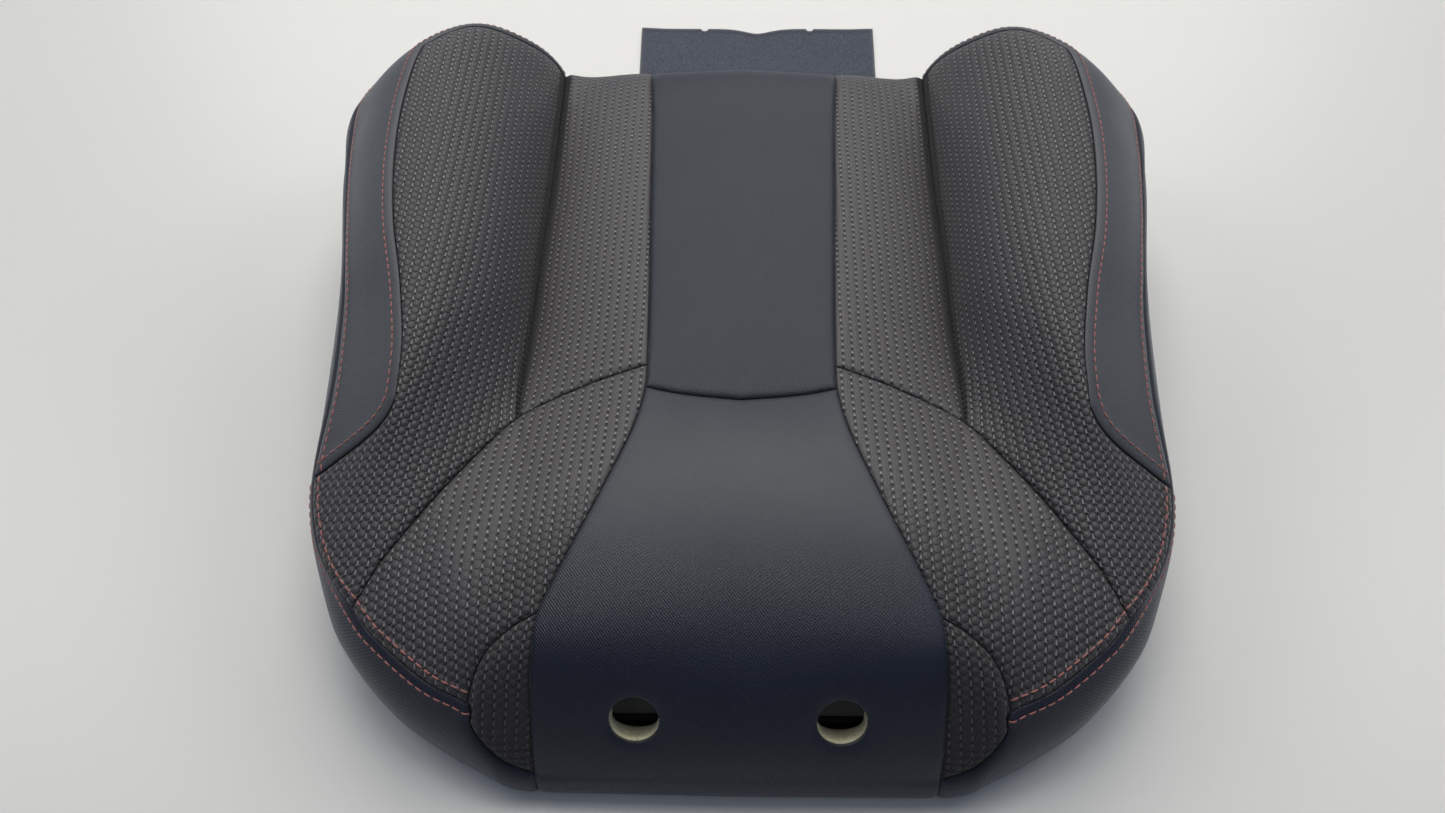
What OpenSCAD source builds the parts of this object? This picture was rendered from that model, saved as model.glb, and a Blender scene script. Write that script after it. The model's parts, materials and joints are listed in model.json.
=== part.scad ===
// Backrest pad of a sport seat: a moulded foam bun under a sewn trim cover.
// The pad lies on its open back: X across, +Y towards the lumbar end, +Z out of the seating face.

/* [Overall size] */
// Width over the shoulder bolsters
shoulder_w = 570; // [520:5:630]
// Length of the pad without its tuck flap
pad_l = 610; // [560:5:680]
// Height of the lumbar bolster crests above the bottom of the trim
crest_h = 168; // [150:2:190]

/* [Trim cover] */
// Thickness of the trim laminate, cloth and scrim foam together
skin_t = 3; // [2:0.5:4]
// Thinning of the laminate where it is sewn
seam_dip = 1.2; // [0.4:0.2:1.6]
// Gap between two pieces that are sewn together
seam_gap = 0.4; // [0.3:0.1:0.8]
// How far the tie-down pulls the seams beside the inserts down between the bolsters
trench_h = 7; // [0:0.5:8]
// Gap between the trim cover and the foam
foam_gap = 1.3; // [0.8:0.1:1.6]

/* [Foam bun] */
// Depth of the frame pocket in the back of the foam
pocket_h = 45; // [36:1:48]
// Room between the hog rings and the foot of their channel's walls
ring_room = 0.55; // [0.4:0.05:1.5]
// Room between the hog rings and the floor of their channel
ring_floor = 2.05; // [1:0.05:3]

/* [Headrest passages] */
// Distance between the two headrest passages
headrest_gap = 118; // [100:2:140]
// Radius of a headrest passage
headrest_r = 14; // [11:0.5:16]
// Angle of the passages above the horizontal
headrest_tilt = 45; // [40:1:50]
// How much wider in radius the trim's holes are than the foam's passages
passage_ease = 0.6; // [0.4:0.2:1.6]

/* [Tie-down wires] */
// Radius of the listing wires
wire_r = 1.2; // [1:0.1:1.6]
// Depth of the cover's listing wire below the trim surface
cover_wire_h = 12; // [10:0.5:13]
// Distance from the cover's wire down to the foam's wire
wire_gap = 5; // [4:0.5:6]
// Radius of the steel in a hog ring
ring_wire_r = 0.8; // [0.6:0.1:1]
// Thickness of the listing sleeve's cloth
sleeve_t = 0.6; // [0.4:0.1:0.8]

/* [Retainer strips] */
// Width of a J retainer strip
strip_w = 18; // [14:1:24]
// Thickness of a J retainer strip
strip_t = 1.8; // [1.4:0.1:2.4]
// Height of the hook on a J retainer strip
hook_h = 8; // [6:0.5:10]

/* [Tuck flap] */
// Width of the felt tuck flap
flap_w = 242; // [200:2:260]
// Length of the felt tuck flap
flap_l = 184; // [140:2:220]
// Thickness of the felt
flap_t = 2; // [1.5:0.5:3]
// Sideways offset of the flap from the pad's middle line
flap_shift = 14; // [-20:1:20]
// How much narrower on each side the flap is where it is sewn on
flap_flare = 6; // [0:1:12]
// Depth of the dip in the middle of the flap's free edge
flap_dip = 9; // [4:1:16]
// Distance between the two clip notches in the free edge
notch_gap = 110; // [90:2:130]
// Radius of a clip notch
notch_r = 4; // [3:0.5:6]

/* [Hidden] */

// The seams are drawn for a pad of these sizes and stretched to the sizes above.
nominal_w = 570;
nominal_l = 610;
nominal_h = 168;
kx = shoulder_w / nominal_w;
ky = pad_l / nominal_l;
kz = crest_h / nominal_h;

// Height of the trim's underside: the retainer strips stand lower.
base_z = 1;
// Places along and across the net of seams
col_a = 3;
col_d = 7;
col_e = 12;
col_f = 14;
row_arc = 2;
row_turn = 12;
row_c = 15;
row_b = 16;
row_g = 22;
row_n = 27;
// The rim runs round the net: far end, side, near end.
rim_n = col_f + row_n + col_f;
// Rings of the skirt from the rim to the bottom, and the ring that is turned under
skirt_n = 4;
under_n = 5;

// Long seams of the right half, from the lumbar end to the headrest end: [row, x, y, z]
centre_line = [
    [0, 0, 384, 74], [1, 0, 379, 91], [2, 0, 366, 98], [5, 0, 300, 100], [9, 0, 190, 101],
    [13, 0, 85, 102], [16, 0, 8, 99], [17, 0, -15, 103], [19, 0, -65, 107], [21, 0, -115, 106],
    [22, 0, -140, 103], [23, 0, -162, 96], [24, 0, -181, 84], [25, 0, -198, 66],
    [26, 0, -211, 48], [27, 0, -218, 30],
];
seam_a = [
    [0, 78, 383, 72], [1, 79, 377, 88], [2, 79, 364, 95], [5, 75, 298, 98], [9, 70, 190, 100],
    [13, 65, 85, 102], [15, 63, 34, 103], [16, 63, 15, 103], [17, 67, -12, 105],
    [19, 84, -67, 107], [21, 104, -121, 106], [22, 115, -150, 101], [23, 117, -169, 94],
    [24, 118, -185, 80], [25, 118, -199, 62], [26, 118, -210, 45], [27, 118, -217, 28],
];
seam_d = [
    [0, 155, 386, 70], [1, 156, 382, 84], [2, 156, 375, 90], [4, 155, 320, 88],
    [7, 154, 240, 83], [10, 153, 150, 82], [13, 150, 60, 83], [14, 149, 27, 86],
    [15, 147, -3, 91],
];
seam_e = [
    [0, 250, 345, 138], [1, 253, 326, 158], [2, 256, 299, 168], [4, 257, 242, 166],
    [6, 251, 182, 161], [8, 239, 120, 154], [10, 223, 56, 147], [11, 216, 17, 140],
    [12, 215, -18, 130], [13, 212, -40, 118], [14, 207, -64, 106], [15, 200, -91, 96],
];
seam_f = [
    [0, 286, 326, 118], [1, 296, 304, 130], [2, 299, 280, 134], [4, 294, 228, 134],
    [6, 287, 170, 130], [8, 279, 112, 124], [10, 270, 52, 114], [11, 267, 4, 105],
    [12, 270, -53, 90], [13, 262, -89, 84], [14, 248, -117, 82], [15, 229, -139, 80],
    [18, 204, -163, 77], [20, 177, -182, 73], [22, 154, -192, 69], [24, 153, -200, 59],
    [27, 145, -208, 45],
];

// Value of a guide curve at s: a smooth curve through points that carry their own place first
function slope(c, i) = [for (a = [1:3]) (c[i + 1][a] - c[i][a]) / (c[i + 1][0] - c[i][0])];
function tangent(c, i) =
    let (n = len(c))
    n == 2 ? slope(c, 0)
    : i == 0 ? 1.5 * slope(c, 0) - 0.5 * tangent(c, 1)
    : i == n - 1 ? 1.5 * slope(c, n - 2) - 0.5 * tangent(c, n - 2)
    : let (a = c[i][0] - c[i - 1][0], b = c[i + 1][0] - c[i][0])
        (slope(c, i - 1) * b + slope(c, i) * a) / (a + b);
function span(c, s, i = 0) = i < len(c) - 2 && s > c[i + 1][0] ? span(c, s, i + 1) : i;
function xyz(p) = [p[1], p[2], p[3]];
function guide(c, s) =
    let (i = span(c, s), h = c[i + 1][0] - c[i][0], u = (s - c[i][0]) / h)
    xyz(c[i]) * (2 * u * u * u - 3 * u * u + 1)
    + xyz(c[i + 1]) * (3 * u * u - 2 * u * u * u)
    + tangent(c, i) * h * (u * u * u - 2 * u * u + u)
    + tangent(c, i + 1) * h * (u * u * u - u * u);
// The point of a long seam at a row, as the end of a cross seam at a column
function end_on(c, row, col) = concat([col], guide(c, row));

// Cross seams and rims: [column, x, y, z]
rim_far = [
    end_on(centre_line, 0, 0), end_on(seam_a, 0, col_a), end_on(seam_d, 0, col_d),
    [8.5, 178, 380, 96], [10, 205, 368, 118], end_on(seam_e, 0, col_e), end_on(seam_f, 0, col_f),
];
arc_e = [
    end_on(seam_d, row_arc, col_d), [8, 166, 367, 110], [9, 181, 358, 128],
    [10.5, 214, 338, 154], end_on(seam_e, row_arc, col_e),
];
turn_e = [
    end_on(seam_e, row_turn, col_e), [12.5, 223, -30, 121], [13, 236, -38, 111],
    [13.5, 253, -45, 100], end_on(seam_f, row_turn, col_f),
];
seam_c = [
    end_on(seam_a, row_c, col_a), [5, 104, 20, 97], end_on(seam_d, row_c, col_d),
    [8.5, 164, -29, 94], [10, 182, -60, 97], end_on(seam_e, row_c, col_e),
    [13, 215, -114, 91], end_on(seam_f, row_c, col_f),
];
seam_b = [end_on(centre_line, row_b, 0), [2, 45, 12, 101], end_on(seam_a, row_b, col_a)];
seam_g = [
    end_on(seam_a, row_g, col_a), [6, 130, -158, 97], [9, 143, -169, 90],
    [12, 151, -182, 79], end_on(seam_f, row_g, col_f),
];
rim_near = [end_on(centre_line, row_n, 0), end_on(seam_a, row_n, col_a)];
rim_corner = [
    end_on(seam_a, row_n, col_a), [6, 124, -216, 30], [10, 136, -213, 36],
    end_on(seam_f, row_n, col_f),
];

// Fields of the net: [first col, last col, first row, last row, side, side, end, end, crown]
fields = [
    [0, col_a, 0, row_b, centre_line, seam_a, rim_far, seam_b, [0, 0, 1]],
    [0, col_a, row_b, row_n, centre_line, seam_a, seam_b, rim_near, [0, 0, 1]],
    [col_a, col_d, 0, row_c, seam_a, seam_d, rim_far, seam_c, [0, 0, 4]],
    [col_d, col_e, 0, row_arc, seam_d, seam_e, rim_far, arc_e, [0, 1, 1]],
    [col_d, col_e, row_arc, row_c, seam_d, seam_e, arc_e, seam_c, [-7, 0, 9]],
    [col_e, col_f, 0, row_turn, seam_e, seam_f, rim_far, turn_e, [3, 0, 3]],
    [col_e, col_f, row_turn, row_c, seam_e, seam_f, turn_e, seam_c, [1, 0, 1]],
    [col_a, col_f, row_c, row_g, seam_a, seam_f, seam_c, seam_g, [1, 0, 6]],
    [col_a, col_f, row_g, row_n, seam_a, seam_f, seam_g, rim_corner, [0, -1, 1]],
];
function hump(s) = 4 * s * (1 - s);
function field_at(i, j, k = 0) =
    let (f = fields[k])
    f[0] <= i && i <= f[1] && f[2] <= j && j <= f[3] ? f : field_at(i, j, k + 1);
// A point of a field: its four seams blended into one patch, with the field's crown
function patch(f, i, j) =
    let (s = (i - f[0]) / (f[1] - f[0]), t = (j - f[2]) / (f[3] - f[2]))
    (1 - t) * guide(f[6], i) + t * guide(f[7], i)
    + (1 - s) * guide(f[4], j) + s * guide(f[5], j)
    - (1 - s) * (1 - t) * guide(f[4], f[2]) - s * (1 - t) * guide(f[5], f[2])
    - (1 - s) * t * guide(f[4], f[3]) - s * t * guide(f[5], f[3])
    + f[8] * hump(s) * hump(t);
// The columns beside the trench stand close to it, where the cloth turns down into it.
near_trench = [[col_a, col_a], [6, 6.6], [col_d, col_d], [8, 7.5], [col_e, col_e], [col_f, col_f]];
function column(i) = i < col_a ? i : lookup(i, near_trench);
// The trench deepens and fades along its seam: [row, share of its depth]
trench_rise = [[0, 0], [1, 0.2], [3, 1], [9, 1], [13, 0.6], [row_c, 0]];
function trench(i, j) = trench_h * max(0, 1 - abs(i - col_d)) * lookup(j, trench_rise);
function net(i, j) = patch(field_at(i, j), column(i), j) - [0, 0, trench(i, j)];
function rim(p) =
    p <= col_f ? net(p, 0) : p <= col_f + row_n ? net(col_f, p - col_f) : net(rim_n - p, row_n);

// Skirt below the rim: its widest line, its bottom edge and the edge turned under: [rim, x, y, z]
belly = [
    [0, 0, 388, 52], [3, 80, 388, 50], [7, 158, 390, 48], [8.5, 180, 388, 70],
    [10, 210, 380, 86], [12, 258, 360, 98], [14, 298, 326, 102], [16, 313, 288, 106],
    [20, 309, 215, 104], [24, 293, 70, 86], [26, 285, -40, 64], [28, 277, -82, 58],
    [29.5, 258, -124, 52], [32, 236, -156, 45], [34, 213, -182, 39], [37, 178, -206, 31],
    [39, 162, -212, 27], [41, 151, -215, 24], [46, 137, -219, 18], [51, 121, -221, 14],
    [52, 118, -221, 14], [55, 0, -222, 14],
];
hem = [
    [0, 0, 384, 0], [3, 80, 384, 0], [7, 156, 384, 0], [11, 228, 358, 0], [14, 276, 318, 0],
    [16, 291, 285, 0], [20, 288, 215, 0], [24, 272, 70, 0], [26, 264, -38, 0],
    [28, 256, -78, 0], [29.5, 240, -114, 0], [32, 219, -145, 0], [34, 199, -168, 0],
    [37, 168, -192, 0], [41, 145, -204, 0], [46, 131, -208, 0], [51, 118, -210, 0],
    [52, 115, -210, 0], [55, 0, -211, 0],
];
under = [
    [0, 0, 345, 0], [3, 80, 345, 0], [7, 150, 345, 0], [11, 200, 334, 0], [14, 228, 300, 0],
    [16, 232, 270, 0], [20, 232, 200, 0], [24, 232, 60, 0], [26, 230, -40, 0],
    [28, 220, -76, 0], [29.5, 207, -100, 0], [32, 188, -130, 0], [34, 170, -150, 0],
    [37, 146, -170, 0], [41, 126, -184, 0], [46, 112, -188, 0], [51, 101, -189, 0],
    [52, 98, -189, 0], [55, 0, -189, 0],
];
function bend(a, b, c, u) = (1 - u) * (1 - u) * a + 2 * u * (1 - u) * b + u * u * c;
// The place on the skirt's own guides under a place of the rim
function rim_column(p) = p < col_f ? column(p) : p > rim_n - col_f ? rim_n - column(rim_n - p) : p;
// How far up towards the rim the skirt's upper arc stays upright
upright = 0.6;
function skirt(p, q) =
    let (
        c = rim_column(p),
        top = rim(p),
        wide = guide(belly, c),
        low = guide(hem, c) + [0, 0, base_z / kz],
        shoulder = [wide[0], wide[1], wide[2] + upright * (top[2] - wide[2])]
    )
    q <= skirt_n / 2
        ? bend(top, shoulder, wide, 2 * q / skirt_n)
    : q <= skirt_n ? bend(wide, [wide[0], wide[1], low[2]], low, 2 * q / skirt_n - 1)
    : low + (guide(under, c) + [0, 0, low[2]] - low) * (q - skirt_n) / (under_n - skirt_n);

// Both halves as one net: negative columns and rim places are the left half.
function stretch(p) = [p[0] * kx, p[1] * ky, p[2] * kz];
function side(p, sign) = [p[0] * sign, p[1], p[2]];
function sheet(i, j) = side(stretch(net(abs(i), j)), i < 0 ? -1 : 1);
function fall(p, q) = side(stretch(skirt(abs(p), q)), p < 0 ? -1 : 1);
function unit(v) = v / norm(v);
step = 0.25;
function sheet_out(i, j) =
    let (
        a = abs(i),
        across = net(min(a + step, col_f), j) - side(net(abs(a - step), j), a < step ? -1 : 1),
        along = net(a, min(j + step, row_n)) - net(a, max(j - step, 0)),
        n = unit(cross(across, -along))
    )
    side(n, i < 0 ? -1 : 1);
function fall_out(p, q) =
    let (
        a = abs(p),
        q0 = max(q - step, 0),
        q1 = min(q + step, under_n),
        before = side(skirt(abs(a - step), q), a < step ? -1 : 1),
        after = side(skirt(rim_n - abs(rim_n - a - step), q), a + step > rim_n ? -1 : 1),
        n = unit(cross(after - before, skirt(a, q1) - skirt(a, q0)))
    )
    side(n, p < 0 ? -1 : 1);
function rim_place(i, j) = j == 0 ? abs(i) : j == row_n ? rim_n - abs(i) : col_f + j;
function on_rim(i, j) = j == 0 || j == row_n || abs(i) == col_f;
function net_out(i, j) =
    on_rim(i, j)
        ? unit(sheet_out(i, j) + fall_out((i < 0 ? -1 : 1) * rim_place(i, j), 0))
        : sheet_out(i, j);
// A point at a depth below the outside of the trim
function sheet_at(i, j, depth) = sheet(i, j) - net_out(i, j) * depth;
function fall_at(p, q, depth) = fall(p, q) - (q >= skirt_n ? [0, 0, -1] : fall_out(p, q)) * depth;

// Every point of the net has one key: the sheet's first, then the skirt's.
key_i = 100;
key_left = 50;
key_skirt = 20000;
key_p = 10;
key_edge = 100000;
function sheet_key(i, j) = (i + key_left) * key_i + j;
function fall_key(p, q) =
    q == 0 ? rim_key(p) : key_skirt + ((p + 2 * rim_n) % (2 * rim_n)) * key_p + q;
function rim_key(p) =
    let (a = abs(p), s = p < 0 ? -1 : 1)
    a <= col_f ? sheet_key(s * a, 0)
    : a <= col_f + row_n ? sheet_key(s * col_f, a - col_f)
    : sheet_key(s * (rim_n - a), row_n);
function key_at(k, depth) =
    k < key_skirt
        ? sheet_at(floor(k / key_i) - key_left, k % key_i, depth)
        : let (m = floor((k - key_skirt) / key_p), p = m > rim_n ? m - 2 * rim_n : m)
            fall_at(p, (k - key_skirt) % key_p, depth);

// Cells of rectangles of the net, each with its corners counter-clockwise from outside
function sheet_cells(r) = [
    for (i = [r[0]:r[1] - 1], j = [r[2]:r[3] - 1])
        [sheet_key(i, j), sheet_key(i, j + 1), sheet_key(i + 1, j + 1), sheet_key(i + 1, j)]
];
function fall_cells(r) = [
    for (p = [r[0]:r[1] - 1], q = [r[2]:r[3] - 1])
        [fall_key(p, q), fall_key(p + 1, q), fall_key(p + 1, q + 1), fall_key(p, q + 1)]
];
function flat(lists) = [for (l = lists, v = l) v];
function unique(v) = [for (i = [0:len(v) - 1]) if (search(v[i], v)[0] == i) v[i]];

// One cloth panel: the cells as a shell of the laminate's thickness, closed along its seams
module panel(sheets, falls) {
    cells = concat(flat([for (r = sheets) sheet_cells(r)]), flat([for (r = falls) fall_cells(r)]));
    keys = unique(flat(cells));
    n = len(keys);
    edges = [for (c = cells, e = [0:3]) c[e] * key_edge + c[(e + 1) % 4]];
    seams = [for (c = cells, e = [0:3])
        if (search(c[(e + 1) % 4] * key_edge + c[e], edges) == []) [c[e], c[(e + 1) % 4]]];
    sewn = flat(seams);
    places = [for (k = keys) key_at(k, 0)];
    middles = [for (c = cells) let (at = [for (k = c) places[search(k, keys)[0]]])
        (at[0] + at[1] + at[2] + at[3]) / 4];
    shift = [for (i = [0:n - 1])
        search(keys[i], sewn) == [] ? [0, 0, 0]
        : let (near = [for (c = [0:len(cells) - 1]) if (search(keys[i], cells[c]) != []) middles[c]],
               sum = [for (m = near) 1] * near)
            unit(sum / len(near) - places[i]) * seam_gap / 2];
    top = [for (i = [0:n - 1])
        key_at(keys[i], search(keys[i], sewn) == [] ? 0 : seam_dip) + shift[i]];
    low = [for (i = [0:n - 1]) key_at(keys[i], skin_t) + shift[i]];
    quads = [for (c = cells) [for (k = c) search(k, keys)[0]]];
    walls = [for (e = seams) [search(e[0], keys)[0], search(e[1], keys)[0]]];
    faces = concat(
        [for (f = quads) [f[0], f[2], f[1]]],
        [for (f = quads) [f[0], f[3], f[2]]],
        [for (f = quads) [n + f[0], n + f[1], n + f[2]]],
        [for (f = quads) [n + f[0], n + f[2], n + f[3]]],
        [for (w = walls) [w[0], w[1], n + w[1]]],
        [for (w = walls) [w[0], n + w[1], n + w[0]]]
    );
    polyhedron(concat(top, low), faces);
}

// A hog ring goes round the two wires of a channel, and the channel leaves room round its rings.
ring_play = 0.15;
ring_mid = cover_wire_h + wire_gap / 2;
ring_r = wire_gap / 2 + wire_r + ring_wire_r + ring_play;
channel_taper = 1;
channel_w = 2 * (ring_r + ring_wire_r + ring_room + channel_taper);
channel_h = ring_mid + ring_r + ring_wire_r + ring_floor;

// ---- foam bun ----
// Columns and rows of the foam: [place, distance in mm from it towards the next one]
channel_lip = channel_w / 2;
channel_foot = channel_lip - channel_taper;
function lane_lines(at) =
    [[at, -channel_lip], [at, -channel_foot], [at, channel_foot], [at, channel_lip]];
half_cols = concat(
    [[1.5, 0]], lane_lines(col_a), [[5.4, 0]], lane_lines(col_d),
    [[9, 0], [10.8, 0], [col_e, 0], [13, 0], [col_f, 0]]);
foam_cols = concat(
    [for (k = [len(half_cols) - 1:-1:0]) -half_cols[k]], [[0, 0]], half_cols);
foam_rows = concat(
    [for (j = [0, 1, 2, 4, 6, 8, 10, 12, 13, 14]) [j, 0]], lane_lines(row_c), lane_lines(row_b),
    [for (j = [18, 20, row_g, 23, 24, 25, 26, row_n]) [j, 0]]);
// How far, in columns or rows, a distance reaches from a place of the net, and the most it may
col_reach = 1.2;
row_reach = 0.32;
function reach(d, gap, most) = sign(d) * min(abs(d) / gap, most);
function foam_i(c, j) =
    c[1] == 0 ? c[0]
    : let (a = abs(c[0]), out = c[1] * sign(c[0]) > 0 ? 1 : -1)
        c[0] + reach(c[1], norm(net(a + out, j) - net(a, j)), col_reach);
function foam_j(r, i) =
    r[1] == 0 ? r[0]
    : r[0] + reach(r[1], norm(net(abs(i), r[0] + sign(r[1])) - net(abs(i), r[0])), row_reach);
// The channel that a point of the foam is the bottom of
along_seam = 0;
across_seam = 1;
no_channel = 2;
channel_end = 0.5;
function channel_at(c, r) =
    let (a = abs(c[0]), deep_col = abs(c[1]) == channel_foot, deep_row = abs(r[1]) == channel_foot,
         i = a + sign(c[0]) * c[1] / channel_w)
    deep_col && a == col_a && r[0] > channel_end && r[0] < row_g ? along_seam
    : deep_col && a == col_d && r[0] > channel_end && r[0] <= row_c ? along_seam
    : deep_row && r[0] == row_c && i > col_a && i < col_e - 1 ? across_seam
    : deep_row && r[0] == row_b && i < col_a ? across_seam
    : no_channel;
// Directions at a place of a seam: along it, out of the foam, and sideways
function seam_axes(i, j, kind) =
    let (
        up = net_out(i, j),
        ahead = kind == along_seam
            ? sheet(i, min(j + step, row_n)) - sheet(i, max(j - step, 0))
            : sheet(i + step, j) - sheet(i - step, j),
        side = unit(cross(up, ahead))
    )
    [unit(cross(side, up)), up, side];
function channel_point(i, j, kind, aside) =
    let (e = seam_axes(i, j, kind)) sheet(i, j) + e[2] * aside - e[1] * channel_h;
function foam_point(c, r) =
    let (i0 = foam_i(c, r[0]), j = foam_j(r, i0), i = foam_i(c, j), kind = channel_at(c, r))
    kind == along_seam ? channel_point(c[0], j, kind, c[1])
    : kind == across_seam ? channel_point(i, r[0], kind, -r[1])
    : sheet_at(i, j, skin_t + foam_gap);
foam_nc = len(foam_cols);
foam_nr = len(foam_rows);
// Rim of the foam's grid, walked from the left end of the far row: [column, row, rim place]
foam_rim = concat(
    [for (c = [0:foam_nc - 1]) [c, 0, foam_i(foam_cols[c], 0)]],
    [for (r = [1:foam_nr - 1]) [foam_nc - 1, r, col_f + foam_j(foam_rows[r], col_f)]],
    [for (c = [foam_nc - 2:-1:0]) let (i = foam_i(foam_cols[c], row_n))
        [c, foam_nr - 1, i < 0 ? -(rim_n + i) : rim_n - i]],
    [for (r = [foam_nr - 2:-1:1]) [0, r, -col_f - foam_j(foam_rows[r], col_f)]]
);
// One half of a four-cornered face, cut along one diagonal on the right and the other on the left
function halved(f, left, h) =
    h == 0 ? (left ? [f[0], f[1], f[3]] : [f[0], f[1], f[2]])
    : left ? [f[1], f[2], f[3]] : [f[0], f[2], f[3]];
module foam_block() {
    m = len(foam_rim);
    grid_n = foam_nc * foam_nr;
    grid = [for (c = foam_cols, r = foam_rows) foam_point(c, r)];
    rings = [for (q = [1:skirt_n], k = foam_rim) fall_at(k[2], q, skin_t + foam_gap)];
    floor_z = base_z + skin_t + foam_gap;
    // Ring 0 is the rim of the grid itself.
    function on_ring(q, k) =
        let (e = foam_rim[k % m]) q == 0 ? e[0] * foam_nr + e[1] : grid_n + (q - 1) * m + k % m;
    polyhedron(
        concat(grid, rings, [[0, guide(centre_line, row_turn)[1] * ky, floor_z]]),
        concat(
            [for (c = [0:foam_nc - 2], r = [0:foam_nr - 2], h = [0, 1])
                let (a = c * foam_nr + r, b = a + foam_nr)
                halved([a, b, b + 1, a + 1], foam_cols[c][0] < 0, h)],
            [for (q = [0:skirt_n - 1], k = [0:m - 1], h = [0, 1])
                halved([on_ring(q, k), on_ring(q + 1, k), on_ring(q + 1, k + 1), on_ring(q, k + 1)],
                    foam_rim[k][2] < 0, h)],
            [for (k = [0:m - 1]) [on_ring(skirt_n, k), grid_n + skirt_n * m, on_ring(skirt_n, k + 1)]]
        )
    );
}
// Outline of the frame pocket: the edge of the turned-under trim
pocket_outline = let (right = [for (p = [0:1:rim_n]) guide(under, rim_column(p))])
    concat([for (u = right) [u[0] * kx, u[1] * ky]],
        [for (k = [len(right) - 2:-1:1]) [-right[k][0] * kx, right[k][1] * ky]]);
module frame_pocket() {
    linear_extrude(height = base_z + skin_t + pocket_h) polygon(pocket_outline);
}
// Middle of the headrest passages, where they leave the trim
passage_row = 25;
passage_col = 1.5;
passage_mid = sheet(passage_col, passage_row);
passage_l = 110;
round_fn = 48;
module headrest_passages(r) {
    for (s = [-1, 1])
        translate([s * headrest_gap / 2, passage_mid[1], passage_mid[2]])
            rotate([headrest_tilt, 0, 0])
                cylinder(h = passage_l, r = r, center = true, $fn = round_fn);
}
module foam_bun() {
    color([0.93, 0.90, 0.76]) difference() {
        foam_block();
        frame_pocket();
        headrest_passages(headrest_r);
    }
}

// ---- trim cover ----
plain_cloth = [0.20, 0.22, 0.26];
dotted_cloth = [0.24, 0.23, 0.24];
module both(s) {
    if (s < 0) mirror([1, 0, 0]) children();
    else children();
}
module centre_lumbar_panel() {
    color(plain_cloth) panel([[-col_a, col_a, 0, row_b]], [[-col_a, col_a, 0, under_n]]);
}
module centre_main_panel() {
    color(plain_cloth) difference() {
        panel([[-col_a, col_a, row_b, row_n]], [[rim_n - col_a, rim_n + col_a, 0, under_n]]);
        headrest_passages(headrest_r + passage_ease);
    }
}
module insert_lumbar(s) {
    color(dotted_cloth) both(s) panel([[col_a, col_d, 0, row_c]], [[col_a, col_d, 0, under_n]]);
}
module insert_shoulder(s) {
    color(dotted_cloth) both(s) panel([[col_a, col_f, row_c, row_g]], []);
}
module bolster_inner(s) {
    color(dotted_cloth) both(s)
        panel([[col_d, col_e, row_arc, row_c], [col_e, col_f, row_turn, row_c]], []);
}
module bolster_outer(s) {
    color(plain_cloth) both(s)
        panel([[col_d, col_e, 0, row_arc], [col_e, col_f, 0, row_turn]], []);
}
module corner_panel(s) {
    color(dotted_cloth) both(s) panel([[col_a, col_f, row_g, row_n]], []);
}
module side_gusset(s) {
    color(plain_cloth) both(s) panel([], [[col_d, rim_n - col_a, 0, under_n]]);
}

// ---- tie-down: sleeves sewn under the seams, wires and hog rings ----
// A lane is a seam with a channel under it:
// [first place, last place, rings, column or row, kind]
lane_a = [2.5, 20.5, 6, col_a, along_seam];
lane_d = [2.5, 13.4, 5, col_d, along_seam];
lane_c = [4.4, 10.4, 3, row_c, across_seam];
lane_b = [-2.3, 2.3, 2, row_b, across_seam];
function lane_place(l, s) =
    let (v = l[0] + (l[1] - l[0]) * s) l[4] == along_seam ? [l[3], v] : [v, l[3]];
function lane_at(l, s, depth) = let (c = lane_place(l, s)) sheet_at(c[0], c[1], depth);
function lane_axes(l, s) = let (c = lane_place(l, s)) seam_axes(c[0], c[1], l[4]);
// A section swept along part of a lane; its points are [sideways, depth]
module lane_sweep(l, section, s0, s1, n, strips) {
    m = len(section);
    points = [for (k = [0:n]) let (s = s0 + (s1 - s0) * k / n, e = lane_axes(l, s))
        for (p = section) lane_at(l, s, 0) + e[2] * p[0] - e[1] * p[1]];
    polyhedron(points, concat(
        [for (k = [0:n - 1], i = [0:m - 1], h = [0, 1])
            let (a = k * m + i, b = k * m + (i + 1) % m)
            h == 0 ? [a, b + m, b] : [a, a + m, b + m]],
        [for (t = strips) [t[0], t[1], t[2]]],
        [for (t = strips) [n * m + t[0], n * m + t[2], n * m + t[1]]]
    ));
}
wire_sides = 8;
function wire_section(depth) = [for (k = [0:wire_sides - 1])
    [wire_r * cos(360 * k / wire_sides), depth - wire_r * sin(360 * k / wire_sides)]];
wire_caps = [for (k = [1:wire_sides - 2]) [0, k, k + 1]];
// Each ring, and the middle between two rings, is a corner of the wires.
function wire_steps(l) = 2 * l[2];
module cover_wire(l) {
    color("silver") lane_sweep(l, wire_section(cover_wire_h), 0, 1, wire_steps(l), wire_caps);
}
module foam_wire(l) {
    color("silver") lane_sweep(l, wire_section(cover_wire_h + wire_gap), 0, 1, wire_steps(l), wire_caps);
}
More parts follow.
